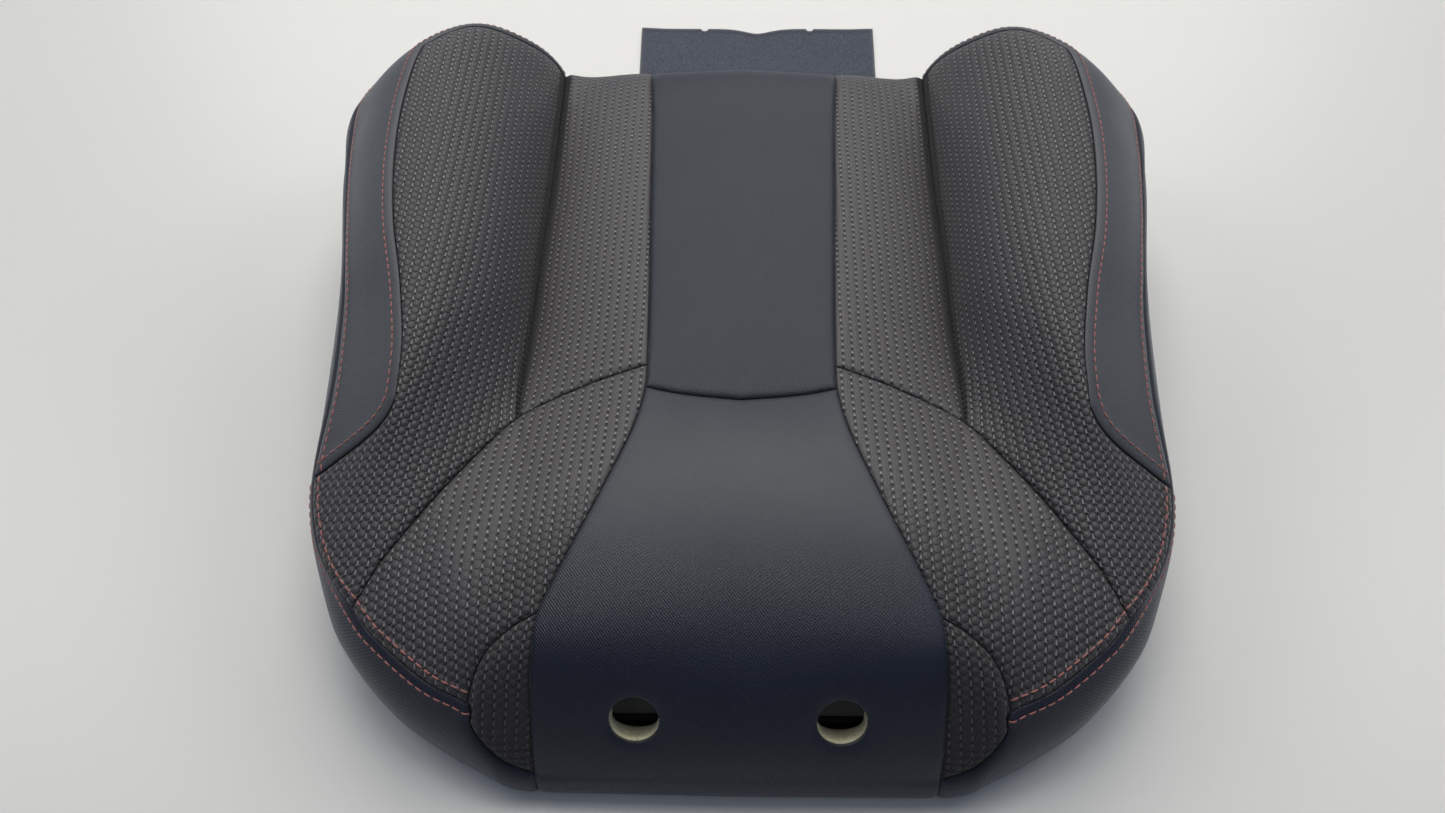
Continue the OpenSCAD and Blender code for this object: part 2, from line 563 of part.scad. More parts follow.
// The sleeve hangs from the seam and wraps the cover's wire: a folded strip of cloth
sleeve_ease = 0.8;
wrap_r = wire_r + sleeve_ease;
wrap_n = 7;
wrap_angle = 300;
sleeve_top = skin_t + 0.3;
sleeve_line = concat([[0, sleeve_top]], [for (k = [0:wrap_n])
    let (a = 90 - wrap_angle * k / wrap_n)
    [(wrap_r + sleeve_t / 2) * cos(a), cover_wire_h - (wrap_r + sleeve_t / 2) * sin(a)]]);
function sleeve_side(k) =
    let (n = len(sleeve_line), a = sleeve_line[max(k - 1, 0)], b = sleeve_line[min(k + 1, n - 1)],
         d = unit(b - a))
    [-d[1], d[0]] * sleeve_t / 2;
sleeve_section = concat(
    [for (k = [0:len(sleeve_line) - 1]) sleeve_line[k] + sleeve_side(k)],
    [for (k = [len(sleeve_line) - 1:-1:0]) sleeve_line[k] - sleeve_side(k)]);
sleeve_caps = let (n = len(sleeve_section)) [for (k = [0:n / 2 - 2], h = [0, 1])
    h == 0 ? [k, k + 1, n - 2 - k] : [k, n - 2 - k, n - 1 - k]];
ring_window = 9;
module sleeve(l) {
    length = norm(lane_at(l, 1, 0) - lane_at(l, 0.5, 0)) + norm(lane_at(l, 0.5, 0) - lane_at(l, 0, 0));
    w = ring_window / length / 2;
    color([0.8, 0.8, 0.78]) for (k = [0:l[2]])
        let (s0 = k == 0 ? 0 : ring_place(l, k - 1) + w, s1 = k == l[2] ? 1 : ring_place(l, k) - w)
        lane_sweep(l, sleeve_section, s0, s1, 2, sleeve_caps);
}
function ring_place(l, k) = (k + 0.5) / l[2];
// The ring's ends meet almost.
ring_angle = 345;
ring_fn = 32;
ring_wire_fn = 16;
module hog_rings(l) {
    color("gray") for (k = [0:l[2] - 1]) {
        s = ring_place(l, k);
        e = lane_axes(l, s);
        at = lane_at(l, s, ring_mid);
        multmatrix([
            [e[2][0], e[1][0], -e[0][0], at[0]],
            [e[2][1], e[1][1], -e[0][1], at[1]],
            [e[2][2], e[1][2], -e[0][2], at[2]],
            [0, 0, 0, 1]
        ]) rotate_extrude(angle = ring_angle, $fn = ring_fn)
            translate([ring_r, 0]) circle(ring_wire_r, $fn = ring_wire_fn);
    }
}
module side_rings() {
    for (l = [lane_a, lane_d, lane_c]) hog_rings(l);
}

// ---- retainer strips ----
// Places of the rim that the side strips lie beside, and the end of the top strip
strip_first = 16;
strip_last = 26;
strip_mid = 20;
strip_end = 52;
strip_side_x = guide(under, strip_mid)[0] * kx - seam_gap;
strip_side_y = [guide(under, strip_last)[1] * ky, guide(under, strip_first)[1] * ky];
strip_top_y = guide(under, rim_n)[1] * ky + seam_gap;
strip_top_x = guide(under, strip_end)[0] * kx;
strip_low_y = guide(under, 0)[1] * ky - seam_gap;
strip_low_x = guide(under, col_d)[0] * kx;
// How far the lip of the hook hangs down at its tip and inside the bend
lip_fall = [1, 0.4];
module j_profile() {
    lip = strip_w - hook_h / 2;
    wall = strip_w - strip_t;
    polygon([
        [0, 0], [strip_w, 0], [strip_w, hook_h], [lip, hook_h - lip_fall[0]],
        [lip, hook_h - lip_fall[0] - strip_t], [wall, hook_h - lip_fall[1] - strip_t],
        [wall, strip_t], [0, strip_t]
    ]);
}
// A strip that starts at an edge and reaches into the pocket, centred on x = 0
module j_strip(length) {
    translate([-length / 2, 0, 0]) rotate([90, 0, 90]) linear_extrude(height = length) j_profile();
}
module retainer_strip_side(s) {
    length = strip_side_y[1] - strip_side_y[0];
    color([0.1, 0.1, 0.11]) translate([s * strip_side_x, (strip_side_y[0] + strip_side_y[1]) / 2, 0])
        rotate([0, 0, s * 90]) j_strip(length);
}
module retainer_strip_top() {
    color([0.1, 0.1, 0.11]) translate([0, strip_top_y, 0]) j_strip(2 * strip_top_x);
}
module retainer_strip_bottom() {
    color([0.1, 0.1, 0.11]) translate([0, strip_low_y, 0]) rotate([0, 0, 180]) j_strip(2 * strip_low_x);
}

// ---- tuck flap ----
// The felt lies just above the table. Its sewn edge is rolled round the fold line, which lies just
// outside the foot of the trim, so the flap swings clear of it.
flap_z = 0.4;
fold_gap = 0.35;
flap_fn = 24;
function foot_y(p) =
    let (high = fall(p, skirt_n - 1), low = fall(p, skirt_n))
    low[1] + (high[1] - low[1]) * (flap_z + flap_t - low[2]) / (high[2] - low[2]);
flap_y = max([for (p = [0:col_d - 1]) foot_y(p)]) + fold_gap + flap_t / 2;
module tuck_flap() {
    half = flap_w / 2;
    root = half - flap_flare;
    color([0.16, 0.18, 0.22]) translate([flap_shift, flap_y, flap_z]) {
        translate([0, 0, flap_t / 2]) rotate([0, 90, 0])
            cylinder(h = 2 * root, r = flap_t / 2, center = true, $fn = flap_fn);
        linear_extrude(height = flap_t) difference() {
            polygon([
                [-root, 0], [root, 0], [half, flap_l],
                [notch_gap / 2 - notch_r, flap_l], [0, flap_l - flap_dip],
                [notch_r - notch_gap / 2, flap_l], [-half, flap_l]
            ]);
            for (s = [-1, 1]) translate([s * notch_gap / 2, flap_l]) circle(notch_r, $fn = flap_fn);
        }
    }
}

// The origin lies under the middle of the whole piece, flap included, on the surface it lies on.
module placed() {
    translate([0, -(flap_y + flap_l + guide(belly, rim_n)[1] * ky) / 2, 0]) children();
}

placed() foam_bun();
placed() centre_lumbar_panel();
placed() centre_main_panel();
placed() insert_lumbar(-1);  // insert_lumbar_left
placed() insert_lumbar(1);  // insert_lumbar_right
placed() insert_shoulder(-1);  // insert_shoulder_left
placed() insert_shoulder(1);  // insert_shoulder_right
placed() bolster_inner(-1);  // bolster_inner_left
placed() bolster_inner(1);  // bolster_inner_right
placed() bolster_outer(-1);  // bolster_outer_left
placed() bolster_outer(1);  // bolster_outer_right
placed() corner_panel(-1);  // corner_panel_left
placed() corner_panel(1);  // corner_panel_right
placed() side_gusset(-1);  // side_gusset_left
placed() side_gusset(1);  // side_gusset_right
placed() both(-1) sleeve(lane_a);  // long_sleeve_left
placed() sleeve(lane_a);  // long_sleeve_right
placed() both(-1) sleeve(lane_d);  // trench_sleeve_left
placed() sleeve(lane_d);  // trench_sleeve_right
placed() both(-1) sleeve(lane_c);  // shoulder_sleeve_left
placed() sleeve(lane_c);  // shoulder_sleeve_right
placed() sleeve(lane_b);  // cross_sleeve
placed() both(-1) cover_wire(lane_a);  // long_cover_wire_left
placed() cover_wire(lane_a);  // long_cover_wire_right
placed() both(-1) foam_wire(lane_a);  // long_foam_wire_left
placed() foam_wire(lane_a);  // long_foam_wire_right
placed() both(-1) cover_wire(lane_d);  // trench_cover_wire_left
placed() cover_wire(lane_d);  // trench_cover_wire_right
placed() both(-1) foam_wire(lane_d);  // trench_foam_wire_left
placed() foam_wire(lane_d);  // trench_foam_wire_right
placed() both(-1) cover_wire(lane_c);  // shoulder_cover_wire_left
placed() cover_wire(lane_c);  // shoulder_cover_wire_right
placed() both(-1) foam_wire(lane_c);  // shoulder_foam_wire_left
placed() foam_wire(lane_c);  // shoulder_foam_wire_right
placed() cover_wire(lane_b);  // cross_cover_wire
placed() foam_wire(lane_b);  // cross_foam_wire
placed() both(-1) side_rings();  // hog_rings_left
placed() side_rings();  // hog_rings_right
placed() hog_rings(lane_b);  // hog_rings_cross
placed() tuck_flap();
placed() retainer_strip_side(-1);  // retainer_strip_left
placed() retainer_strip_side(1);  // retainer_strip_right
placed() retainer_strip_top();
placed() retainer_strip_bottom();
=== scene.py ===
"""Looks of a sport seat's backrest pad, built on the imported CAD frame.

The cover is one net of seams. A place across it, its column, counts from 0 in the middle to F at the
side. A place along it, its row, counts from 0 at the lumbar end to N at the headrest end. A guide's
points are [place, x, y, z] in the pad's own millimetres. All other lengths are in metres.
"""
import json
import math

import bmesh
import bpy
import numpy as np
from mathutils import Matrix, Vector
from mathutils.bvhtree import BVHTree
from mathutils.kdtree import KDTree


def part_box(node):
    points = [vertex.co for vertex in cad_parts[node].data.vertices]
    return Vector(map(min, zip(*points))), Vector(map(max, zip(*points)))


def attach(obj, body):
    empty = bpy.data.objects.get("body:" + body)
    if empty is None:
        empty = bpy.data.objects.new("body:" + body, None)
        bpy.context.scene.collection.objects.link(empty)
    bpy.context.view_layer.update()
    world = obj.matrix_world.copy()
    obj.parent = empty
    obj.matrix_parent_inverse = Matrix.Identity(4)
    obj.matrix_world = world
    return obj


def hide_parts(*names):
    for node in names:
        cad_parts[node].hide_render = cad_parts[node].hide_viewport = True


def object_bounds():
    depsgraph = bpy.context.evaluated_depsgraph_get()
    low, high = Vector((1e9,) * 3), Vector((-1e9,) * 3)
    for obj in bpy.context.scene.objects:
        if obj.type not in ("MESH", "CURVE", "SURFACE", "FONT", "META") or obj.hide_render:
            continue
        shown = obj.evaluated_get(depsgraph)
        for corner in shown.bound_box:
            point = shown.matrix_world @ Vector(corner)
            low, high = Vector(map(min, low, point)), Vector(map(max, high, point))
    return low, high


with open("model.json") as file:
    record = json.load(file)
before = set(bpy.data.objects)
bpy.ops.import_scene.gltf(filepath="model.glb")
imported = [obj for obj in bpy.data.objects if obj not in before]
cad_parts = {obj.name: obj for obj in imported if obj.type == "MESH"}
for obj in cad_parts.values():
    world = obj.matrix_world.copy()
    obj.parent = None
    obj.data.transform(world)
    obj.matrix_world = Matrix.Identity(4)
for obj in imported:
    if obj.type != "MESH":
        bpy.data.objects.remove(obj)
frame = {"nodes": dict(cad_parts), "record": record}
cad_box = [list(v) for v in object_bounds()]
nodes = frame["nodes"]
scene = bpy.context.scene

HEADREST_REACH = 0.222  # from the pad's own origin to its end at the headrest
SHIFT = cad_box[0][1] + HEADREST_REACH  # from the pad's own y to the frame's y

# ---------------------------------------------------------------- the net of seams
A, D, E, F = 3, 7, 12, 14  # columns of the seams that run along the pad
ARC, TURN, C, B, G, N = 2, 12, 15, 16, 22, 27  # rows of those that run across it, and the last row
RIM = F + N + F  # places round the rim of the right half
RING = 2 * RIM
BELLY, HEM, EDGE = 2, 4, 5  # places down the skirt: widest, at the table, and turned under
H = 0.25  # step of the coarse net, in places
TABLE_GAP = 0.001

centre_line = [
    [0, 0, 384, 74], [1, 0, 379, 91], [2, 0, 366, 98], [5, 0, 300, 100], [9, 0, 190, 101],
    [13, 0, 85, 102], [16, 0, 8, 99], [17, 0, -15, 103], [19, 0, -65, 107], [21, 0, -115, 106],
    [22, 0, -140, 103], [23, 0, -162, 96], [24, 0, -181, 84], [25, 0, -198, 66],
    [26, 0, -211, 48], [27, 0, -218, 30],
]
seam_a = [
    [0, 78, 383, 72], [1, 79, 377, 88], [2, 79, 364, 95], [5, 75, 298, 98], [9, 70, 190, 100],
    [13, 65, 85, 102], [15, 63, 34, 103], [16, 63, 15, 103], [17, 67, -12, 105],
    [19, 84, -67, 107], [21, 104, -121, 106], [22, 115, -150, 101], [23, 117, -169, 94],
    [24, 118, -185, 80], [25, 118, -199, 62], [26, 118, -210, 45], [27, 118, -217, 28],
]
seam_d = [
    [0, 155, 386, 70], [1, 156, 382, 84], [2, 156, 375, 90], [4, 155, 320, 88],
    [7, 154, 240, 83], [10, 153, 150, 82], [13, 150, 60, 83], [14, 149, 27, 86],
    [15, 147, -3, 91],
]
seam_e = [
    [0, 248, 343, 138], [1, 247, 328, 156], [2, 250, 305, 165], [4, 253, 243, 164],
    [6, 249, 182, 160], [8, 239, 120, 154], [10, 223, 56, 147], [11, 216, 17, 140],
    [12, 215, -18, 130], [13, 212, -40, 118], [14, 207, -64, 106], [15, 200, -91, 96],
]
seam_f = [
    [0, 286, 327, 114], [1, 298, 305, 124], [2, 304, 281, 127], [4, 300, 228, 127],
    [6, 290, 170, 127], [8, 279, 112, 124], [10, 270, 52, 114], [11, 267, 4, 105],
    [12, 270, -53, 90], [13, 262, -89, 84], [14, 248, -117, 82], [15, 229, -139, 80],
    [18, 204, -163, 77], [20, 177, -182, 73], [22, 154, -192, 69], [24, 153, -200, 59],
    [27, 145, -208, 45],
]
belly = [
    [0, 0, 388, 52], [3, 80, 388, 50], [7, 158, 390, 48], [8.5, 180, 388, 70],
    [10, 210, 380, 86], [12, 258, 360, 98], [14, 300, 327, 101], [16, 314, 288, 104],
    [20, 307, 215, 104], [24, 284, 69, 86], [26, 277, -39, 64], [28, 272, -80, 58],
    [29.5, 255, -122, 52], [32, 235, -155, 45], [34, 210, -180, 39], [37, 172, -203, 31],
    [39, 157, -210, 27], [41, 148, -214, 24], [46, 137, -219, 18], [51, 121, -221, 14],
    [52, 118, -221, 14], [55, 0, -222, 14],
]
hem = [
    [0, 0, 384, 0], [3, 80, 384, 0], [7, 156, 384, 0], [11, 228, 358, 0], [14, 276, 318, 0],
    [16, 291, 285, 0], [20, 288, 215, 0], [24, 272, 70, 0], [26, 264, -38, 0],
    [28, 256, -78, 0], [29.5, 240, -114, 0], [32, 219, -145, 0], [34, 199, -168, 0],
    [37, 168, -192, 0], [41, 145, -204, 0], [46, 131, -208, 0], [51, 118, -210, 0],
    [52, 115, -210, 0], [55, 0, -211, 0],
]
under = [
    [0, 0, 345, 0], [3, 80, 345, 0], [7, 150, 345, 0], [11, 200, 334, 0], [14, 228, 300, 0],
    [16, 232, 270, 0], [20, 232, 200, 0], [24, 232, 60, 0], [26, 230, -40, 0],
    [28, 220, -76, 0], [29.5, 207, -100, 0], [32, 188, -130, 0], [34, 170, -150, 0],
    [37, 146, -170, 0], [41, 126, -184, 0], [46, 112, -188, 0], [51, 101, -189, 0],
    [52, 98, -189, 0], [55, 0, -189, 0],
]


def guide(curve, s):
    """Points of a smooth curve through [place, x, y, z] at the places s, in metres."""
    c = np.array(curve, float)
    at, p = c[:, 0], c[:, 1:] / 1000
    h = np.diff(at)
    slopes = np.diff(p, axis=0) / h[:, None]
    if len(c) == 2:
        t = np.stack([slopes[0], slopes[0]])
    else:
        t = np.zeros_like(p)
        t[1:-1] = (slopes[:-1] * h[1:, None] + slopes[1:] * h[:-1, None]) / (h[:-1] + h[1:])[:, None]
        t[0] = 1.5 * slopes[0] - 0.5 * t[1]
        t[-1] = 1.5 * slopes[-1] - 0.5 * t[-2]
    s = np.atleast_1d(np.asarray(s, float))
    i = np.clip(np.searchsorted(at, s, side="left") - 1, 0, len(c) - 2)
    h = (at[i + 1] - at[i])[:, None]
    u = ((s - at[i])[:, None]) / h
    return (p[i] * (2 * u**3 - 3 * u**2 + 1) + p[i + 1] * (3 * u**2 - 2 * u**3)
            + t[i] * h * (u**3 - 2 * u**2 + u) + t[i + 1] * h * (u**3 - u**2))


def end_on(curve, row, col):
    """A guide's point where it meets another guide, at its own place col."""
    return [col, *(guide(curve, row)[0] * 1000)]


rim_far = [end_on(centre_line, 0, 0), end_on(seam_a, 0, A), end_on(seam_d, 0, D),
           [8.5, 178, 380, 96], [10, 205, 368, 118], end_on(seam_e, 0, E), end_on(seam_f, 0, F)]
arc_e = [end_on(seam_d, ARC, D), [8, 167, 371, 110], [9, 183, 363, 129],
         [10.5, 218, 345, 156], end_on(seam_e, ARC, E)]
turn_e = [end_on(seam_e, TURN, E), [12.5, 223, -30, 121], [13, 236, -38, 111],
          [13.5, 253, -45, 100], end_on(seam_f, TURN, F)]
seam_c = [end_on(seam_a, C, A), [5, 104, 20, 97], end_on(seam_d, C, D), [8.5, 164, -29, 94],
          [10, 182, -60, 97], end_on(seam_e, C, E), [13, 215, -114, 91], end_on(seam_f, C, F)]
seam_b = [end_on(centre_line, B, 0), [2, 45, 12, 101], end_on(seam_a, B, A)]
seam_g = [end_on(seam_a, G, A), [6, 130, -158, 97], [9, 143, -169, 90], [12, 151, -182, 79],
          end_on(seam_f, G, F)]
rim_near = [end_on(centre_line, N, 0), end_on(seam_a, N, A)]
rim_corner = [end_on(seam_a, N, A), [6, 124, -216, 30], [10, 136, -213, 36], end_on(seam_f, N, F)]
# columns from and to, rows from and to, inner, outer, far and near seam, and the crown in millimetres
fields = [
    [0, A, 0, B, centre_line, seam_a, rim_far, seam_b, [0, 0, 1]],
    [0, A, B, N, centre_line, seam_a, seam_b, rim_near, [0, 0, 1]],
    [A, D, 0, C, seam_a, seam_d, rim_far, seam_c, [0, 0, 4]],
    [D, E, 0, ARC, seam_d, seam_e, rim_far, arc_e, [0, 1, 1]],
    [D, E, ARC, C, seam_d, seam_e, arc_e, seam_c, [-7, 0, 9]],
    [E, F, 0, TURN, seam_e, seam_f, rim_far, turn_e, [3, 0, 3]],
    [E, F, TURN, C, seam_e, seam_f, turn_e, seam_c, [1, 0, 1]],
    [A, F, C, G, seam_a, seam_f, seam_c, seam_g, [1, 0, 6]],
    [A, F, G, N, seam_a, seam_f, seam_g, rim_corner, [0, -1, 1]],
]


def patch(field, i, j):
    """A grid of points of one field: its four seams blended, with the field's crown."""
    i0, i1, j0, j1, inner, outer, far, near, crown = field
    s = ((i - i0) / (i1 - i0))[:, None, None]
    t = ((j - j0) / (j1 - j0))[None, :, None]
    corners = [guide(seam, row)[0] for row in (j0, j1) for seam in (inner, outer)]
    return ((1 - t) * guide(far, i)[:, None] + t * guide(near, i)[:, None]
            + (1 - s) * guide(inner, j)[None] + s * guide(outer, j)[None]
            - (1 - s) * (1 - t) * corners[0] - s * (1 - t) * corners[1]
            - (1 - s) * t * corners[2] - s * t * corners[3]
            + np.array(crown) / 1000 * 16 * s * (1 - s) * t * (1 - t))


def column(i):
    """The columns beside the trench stand close to it, where the cloth turns down into it."""
    return np.where(i < A, i, np.interp(i, [A, 6, D, 8, E, F], [A, 6.6, D, 7.5, E, F]))


def rim_column(p):
    return np.where(p < F, column(p), np.where(p > RIM - F, RIM - column(RIM - p), p))


TRENCH_DEPTH = 0.007


def trench(i, j):
    """How far the cover is drawn down beside seam D."""
    share = np.interp(j, [0, 1, 3, 9, 13, C], [0, 0.2, 1, 1, 0.6, 0])
    return TRENCH_DEPTH * np.clip(1 - np.abs(i - D), 0, 1)[:, None] * share[None]


def steps(places):
    return int(round(places / H))


def ring_ij(p):
    """Where a place of the rim's ring lies on the sheet: the right half is 0 to RIM."""
    a = p if p <= RIM else RING - p
    s = 1 if p <= RIM else -1
    return (s * a, 0) if a <= F else (s * F, a - F) if a <= F + N else (s * (RIM - a), N)


def bend(a, b, c, u):
    return (1 - u) ** 2 * a + 2 * u * (1 - u) * b + u * u * c


ci, cj = np.arange(-F, F + H / 2, H), np.arange(0, N + H / 2, H)
cp, cq = np.arange(0, RING, H), np.arange(0, EDGE + H / 2, H)
cover = np.zeros((len(ci), len(cj), 3))
for field in fields:
    i0, i1, j0, j1 = field[:4]
    i, j = np.arange(i0, i1 + H / 2, H), np.arange(j0, j1 + H / 2, H)
    grid = patch(field, column(i), j)
    grid[..., 2] -= trench(i, j)
    for sign in (1, -1):
        cover[np.round((sign * i + F) / H).astype(int), steps(j0):steps(j1) + 1] = grid * [sign, 1, 1]

BULGE = 0.6  # height over the belly, as a share of the rim's, that the skirt's curve is drawn to
rim_ids = [(steps(i + F), steps(j)) for i, j in map(ring_ij, cp)]
on_right = cp <= RIM
place = rim_column(np.where(on_right, cp, RING - cp))
sides = np.stack([np.where(on_right, 1, -1), np.ones(len(cp)), np.ones(len(cp))], 1)
wide, low, tucked = guide(belly, place) * sides, guide(hem, place) * sides, guide(under, place) * sides
low[:, 2] += TABLE_GAP
tucked[:, 2] += TABLE_GAP
top = np.array([cover[a] for a in rim_ids])
skirt = np.zeros((len(cp), len(cq), 3))
for k, q in enumerate(cq):
    if q <= BELLY:
        height = wide[:, 2] + BULGE * (top[:, 2] - wide[:, 2])
        skirt[:, k] = bend(top, np.stack([wide[:, 0], wide[:, 1], height], 1), wide, q / BELLY)
    elif q <= HEM:
        mid = np.stack([wide[:, 0], wide[:, 1], low[:, 2]], 1)
        skirt[:, k] = bend(wide, mid, low, (q - BELLY) / (HEM - BELLY))
    else:
        skirt[:, k] = low + (tucked - low) * (q - HEM)
cover[..., 1] += SHIFT
skirt[..., 1] += SHIFT

# ---------------------------------------------------------------- panels of the cover
# name: (rectangles of the sheet, range of the skirt's ring, cloth)
panels = {
    "centre_lumbar_panel": ([(-A, A, 0, B)], (-A, A), "plain"),
    "centre_main_panel": ([(-A, A, B, N)], (RIM - A, RIM + A), "plain"),
}
for name, rects, falls, cloth in (
        ("insert_lumbar", [(A, D, 0, C)], (A, D), "dotted"),
        ("insert_shoulder", [(A, F, C, G)], None, "dotted"),
        ("bolster_inner", [(D, E, ARC, C), (E, F, TURN, C)], None, "dotted"),
        ("bolster_outer", [(D, E, 0, ARC), (E, F, 0, TURN)], None, "plain"),
        ("corner_panel", [(A, F, G, N)], None, "dotted"),
        ("side_gusset", [], (D, RIM - A), "plain")):
    panels[name + "_right"] = (rects, falls, cloth)
    panels[name + "_left"] = ([(-b, -a, c, d) for a, b, c, d in rects],
                              falls and (-falls[1], -falls[0]), cloth)

# ---------------------------------------------------------------- one welded cover, relaxed and puffed
n_sheet = len(ci) * len(cj)
skirt_net = np.arange(n_sheet, n_sheet + len(cp) * (len(cq) - 1)).reshape(len(cp), -1)
skirt_net = np.c_[[a * len(cj) + b for a, b in rim_ids], skirt_net]


def point_ids(name):
    """Point numbers of the panel's grids: its rectangles of the sheet, then its part of the skirt."""
    rects, falls, _ = panels[name]
    out = []
    for i0, i1, j0, j1 in rects:
        a, b = np.arange(steps(i0 + F), steps(i1 + F) + 1), np.arange(steps(j0), steps(j1) + 1)
        out.append(a[:, None] * len(cj) + b)
    if falls:
        out.append(skirt_net[np.arange(steps(falls[0]), steps(falls[1]) + 1) % len(cp)])
    return out


def quads_of(ids, turned=False):
    """The faces of a grid of point numbers, turned over or not."""
    corners = [ids[:-1, :-1], ids[:-1, 1:], ids[1:, 1:], ids[1:, :-1]]
    return np.stack(corners[:1] + corners[:0:-1] if turned else corners, -1).reshape(-1, 4)


quads, owner = [], []
for number, name in enumerate(panels):
    for k, ids in enumerate(point_ids(name)):
        quads.append(quads_of(ids, turned=k >= len(panels[name][0])))
        owner += [number] * len(quads[-1])
coarse = np.concatenate([cover.reshape(-1, 3), skirt[:, 1:].reshape(-1, 3)])
quads, owner = np.concatenate(quads), np.array(owner)
edge_owners = {}
for face, number in zip(quads, owner):
    for k in range(4):
        ends = tuple(sorted((int(face[k]), int(face[(k + 1) % 4]))))
        edge_owners.setdefault(ends, []).append(int(number))
pinned = np.zeros(len(coarse), bool)
for ends, numbers in edge_owners.items():
    if len(numbers) == 1 or numbers[0] != numbers[1]:
        pinned[list(ends)] = True
pinned[skirt_net[:, steps(HEM):]] = True
edges = np.array(list(edge_owners))


SHRINK, GROW = 0.5, -0.52


def smoothed(points, rounds):
    """Taubin smoothing with the seams and the hem held."""
    count = np.bincount(edges.ravel(), minlength=len(points))[:, None].clip(1)
    for k in range(2 * rounds):
        total = np.zeros_like(points)
        np.add.at(total, edges[:, 0], points[edges[:, 1]])
        np.add.at(total, edges[:, 1], points[edges[:, 0]])
        move = (total / count - points) * (GROW if k % 2 else SHRINK)
        move[pinned] = 0
        points = points + move
    return points


def compact(faces):
    """The points that the faces use, and the faces renumbered to them."""
    used = np.unique(faces)
    return used, np.searchsorted(used, faces)


def add_object(name, data):
    o = bpy.data.objects.new(name, data)
    scene.collection.objects.link(o)
    return o


PUFF_LIMIT = 0.0045  # the furthest that the foam pushes the cover out
PUFF_FRAMES = 20


def puffed_up(points):
    """The cover blown up between its seams, by a short cloth simulation with pressure in it."""
    used, faces = compact(quads)
    mesh = bpy.data.meshes.new("puff")
    mesh.from_pydata(points[used].tolist(), [], faces.tolist())
    body = add_object("puff", mesh)
    group = body.vertex_groups.new(name="pin")
    group.add([int(k) for k in np.nonzero(pinned[used])[0]], 1.0, "ADD")
    cloth = body.modifiers.new("cloth", "CLOTH")
    s = cloth.settings
    s.quality, s.mass, s.air_damping = 6, 0.3, 2.0
    s.tension_stiffness = s.compression_stiffness = 40
    s.shear_stiffness, s.bending_stiffness = 20, 2.0
    s.use_pressure, s.uniform_pressure_force = True, 4.0
    s.vertex_group_mass = "pin"
    s.effector_weights.gravity = 0
    cloth.point_cache.frame_start, cloth.point_cache.frame_end = 1, PUFF_FRAMES
    for k in range(1, PUFF_FRAMES + 1):
        scene.frame_set(k)
    done = body.evaluated_get(bpy.context.evaluated_depsgraph_get()).to_mesh()
    co = np.zeros(len(done.vertices) * 3)
    done.vertices.foreach_get("co", co)
    move = co.reshape(-1, 3) - points[used]
    length = np.linalg.norm(move, axis=1, keepdims=True).clip(1e-9)
    scene.frame_set(1)
    bpy.data.objects.remove(body)
    out = points.copy()
    out[used] += move * (PUFF_LIMIT * np.tanh(length / PUFF_LIMIT) / length)
    return out


relaxed = smoothed(coarse, 6)
puffed = smoothed(puffed_up(relaxed), 2)


# ---------------------------------------------------------------- fine panels
def cubic(fine, first, last):
    """Weights that take samples at first, first+H … last to the fine places, as a smooth curve."""
    n = steps(last - first) + 1
    x = (np.asarray(fine) - first) / H
    k = np.clip(np.floor(x + 1e-9).astype(int), 0, n - 2)
    u = x - k
    w = np.zeros((len(x), n))
    rows = np.arange(len(x))
    for d, v in ((-1, -0.5 * u + u * u - 0.5 * u**3), (0, 1 - 2.5 * u * u + 1.5 * u**3),
                 (1, 0.5 * u + 2 * u * u - 1.5 * u**3), (2, -0.5 * u * u + 0.5 * u**3)):
        at = k + d
        inside = (at >= 0) & (at < n)
        np.add.at(w, (rows[inside], at[inside]), v[inside])
        for side, end, inward in ((at < 0, 0, 1), (at >= n, n - 1, -1)):
            # a sample beyond the end goes on as the last three do
            third = end + 2 * inward if n > 2 else end + inward
            for place, weight in ((end, 3), (end + inward, -3), (third, 1)):
                np.add.at(w, (rows[side], np.full(side.sum(), place)), weight * v[side])
    return w


def resampled(wa, part, wb):
    return np.moveaxis(np.tensordot(wb, np.tensordot(wa, part, 1), (1, 1)), 0, 1)


FINE = 0.125  # step of the fine net
BESIDE_SEAM = (0.03, 0.07, 0.19)  # its further lines beside a seam, all in places


def fine_lines(first, last, seams):
    """Places of the fine net's lines, with more of them beside the seams."""
    lines = set(np.round(np.arange(first, last + FINE / 2, FINE), 4))
    for s in seams:
        for d in BESIDE_SEAM:
            lines |= {round(s + d, 4), round(s - d, 4)}
    return np.array(sorted(x for x in lines if first - 1e-6 <= x <= last + 1e-6))


across = [-F, -E, -D, -A, A, D, E, F]
along = [0, ARC, TURN, C, B, G, N]
ring_seams = [-D, -A, A, D, E, F, RIM - A, RIM - D, RIM + A, RIM + D] + [F + row for row in along]
ring_seams = sorted({place for k in ring_seams for place in (k, -k, RING - k)})
skirt_lines = np.sort(np.concatenate([
    fine_lines(0, BELLY, [0]), np.arange(BELLY + FINE / 2, HEM, FINE / 2), np.linspace(HEM, EDGE, 9),
    [EDGE - BESIDE_SEAM[0]]]))
on_side = skirt_lines <= HEM
skirt_weights = np.zeros((len(skirt_lines), len(cq)))
skirt_weights[on_side, :steps(HEM) + 1] = cubic(skirt_lines[on_side], 0, HEM)
skirt_weights[~on_side, steps(HEM):] = cubic(skirt_lines[~on_side], HEM, EDGE)


def sheet_key(x, y):
    return "s", round(x, 3), round(y, 3)


def skirt_key(x, y):
    if y < 1e-6:
        return sheet_key(*ring_ij(round(x % RING, 4)))
    return "f", round(x % RING, 3), round(y, 4)


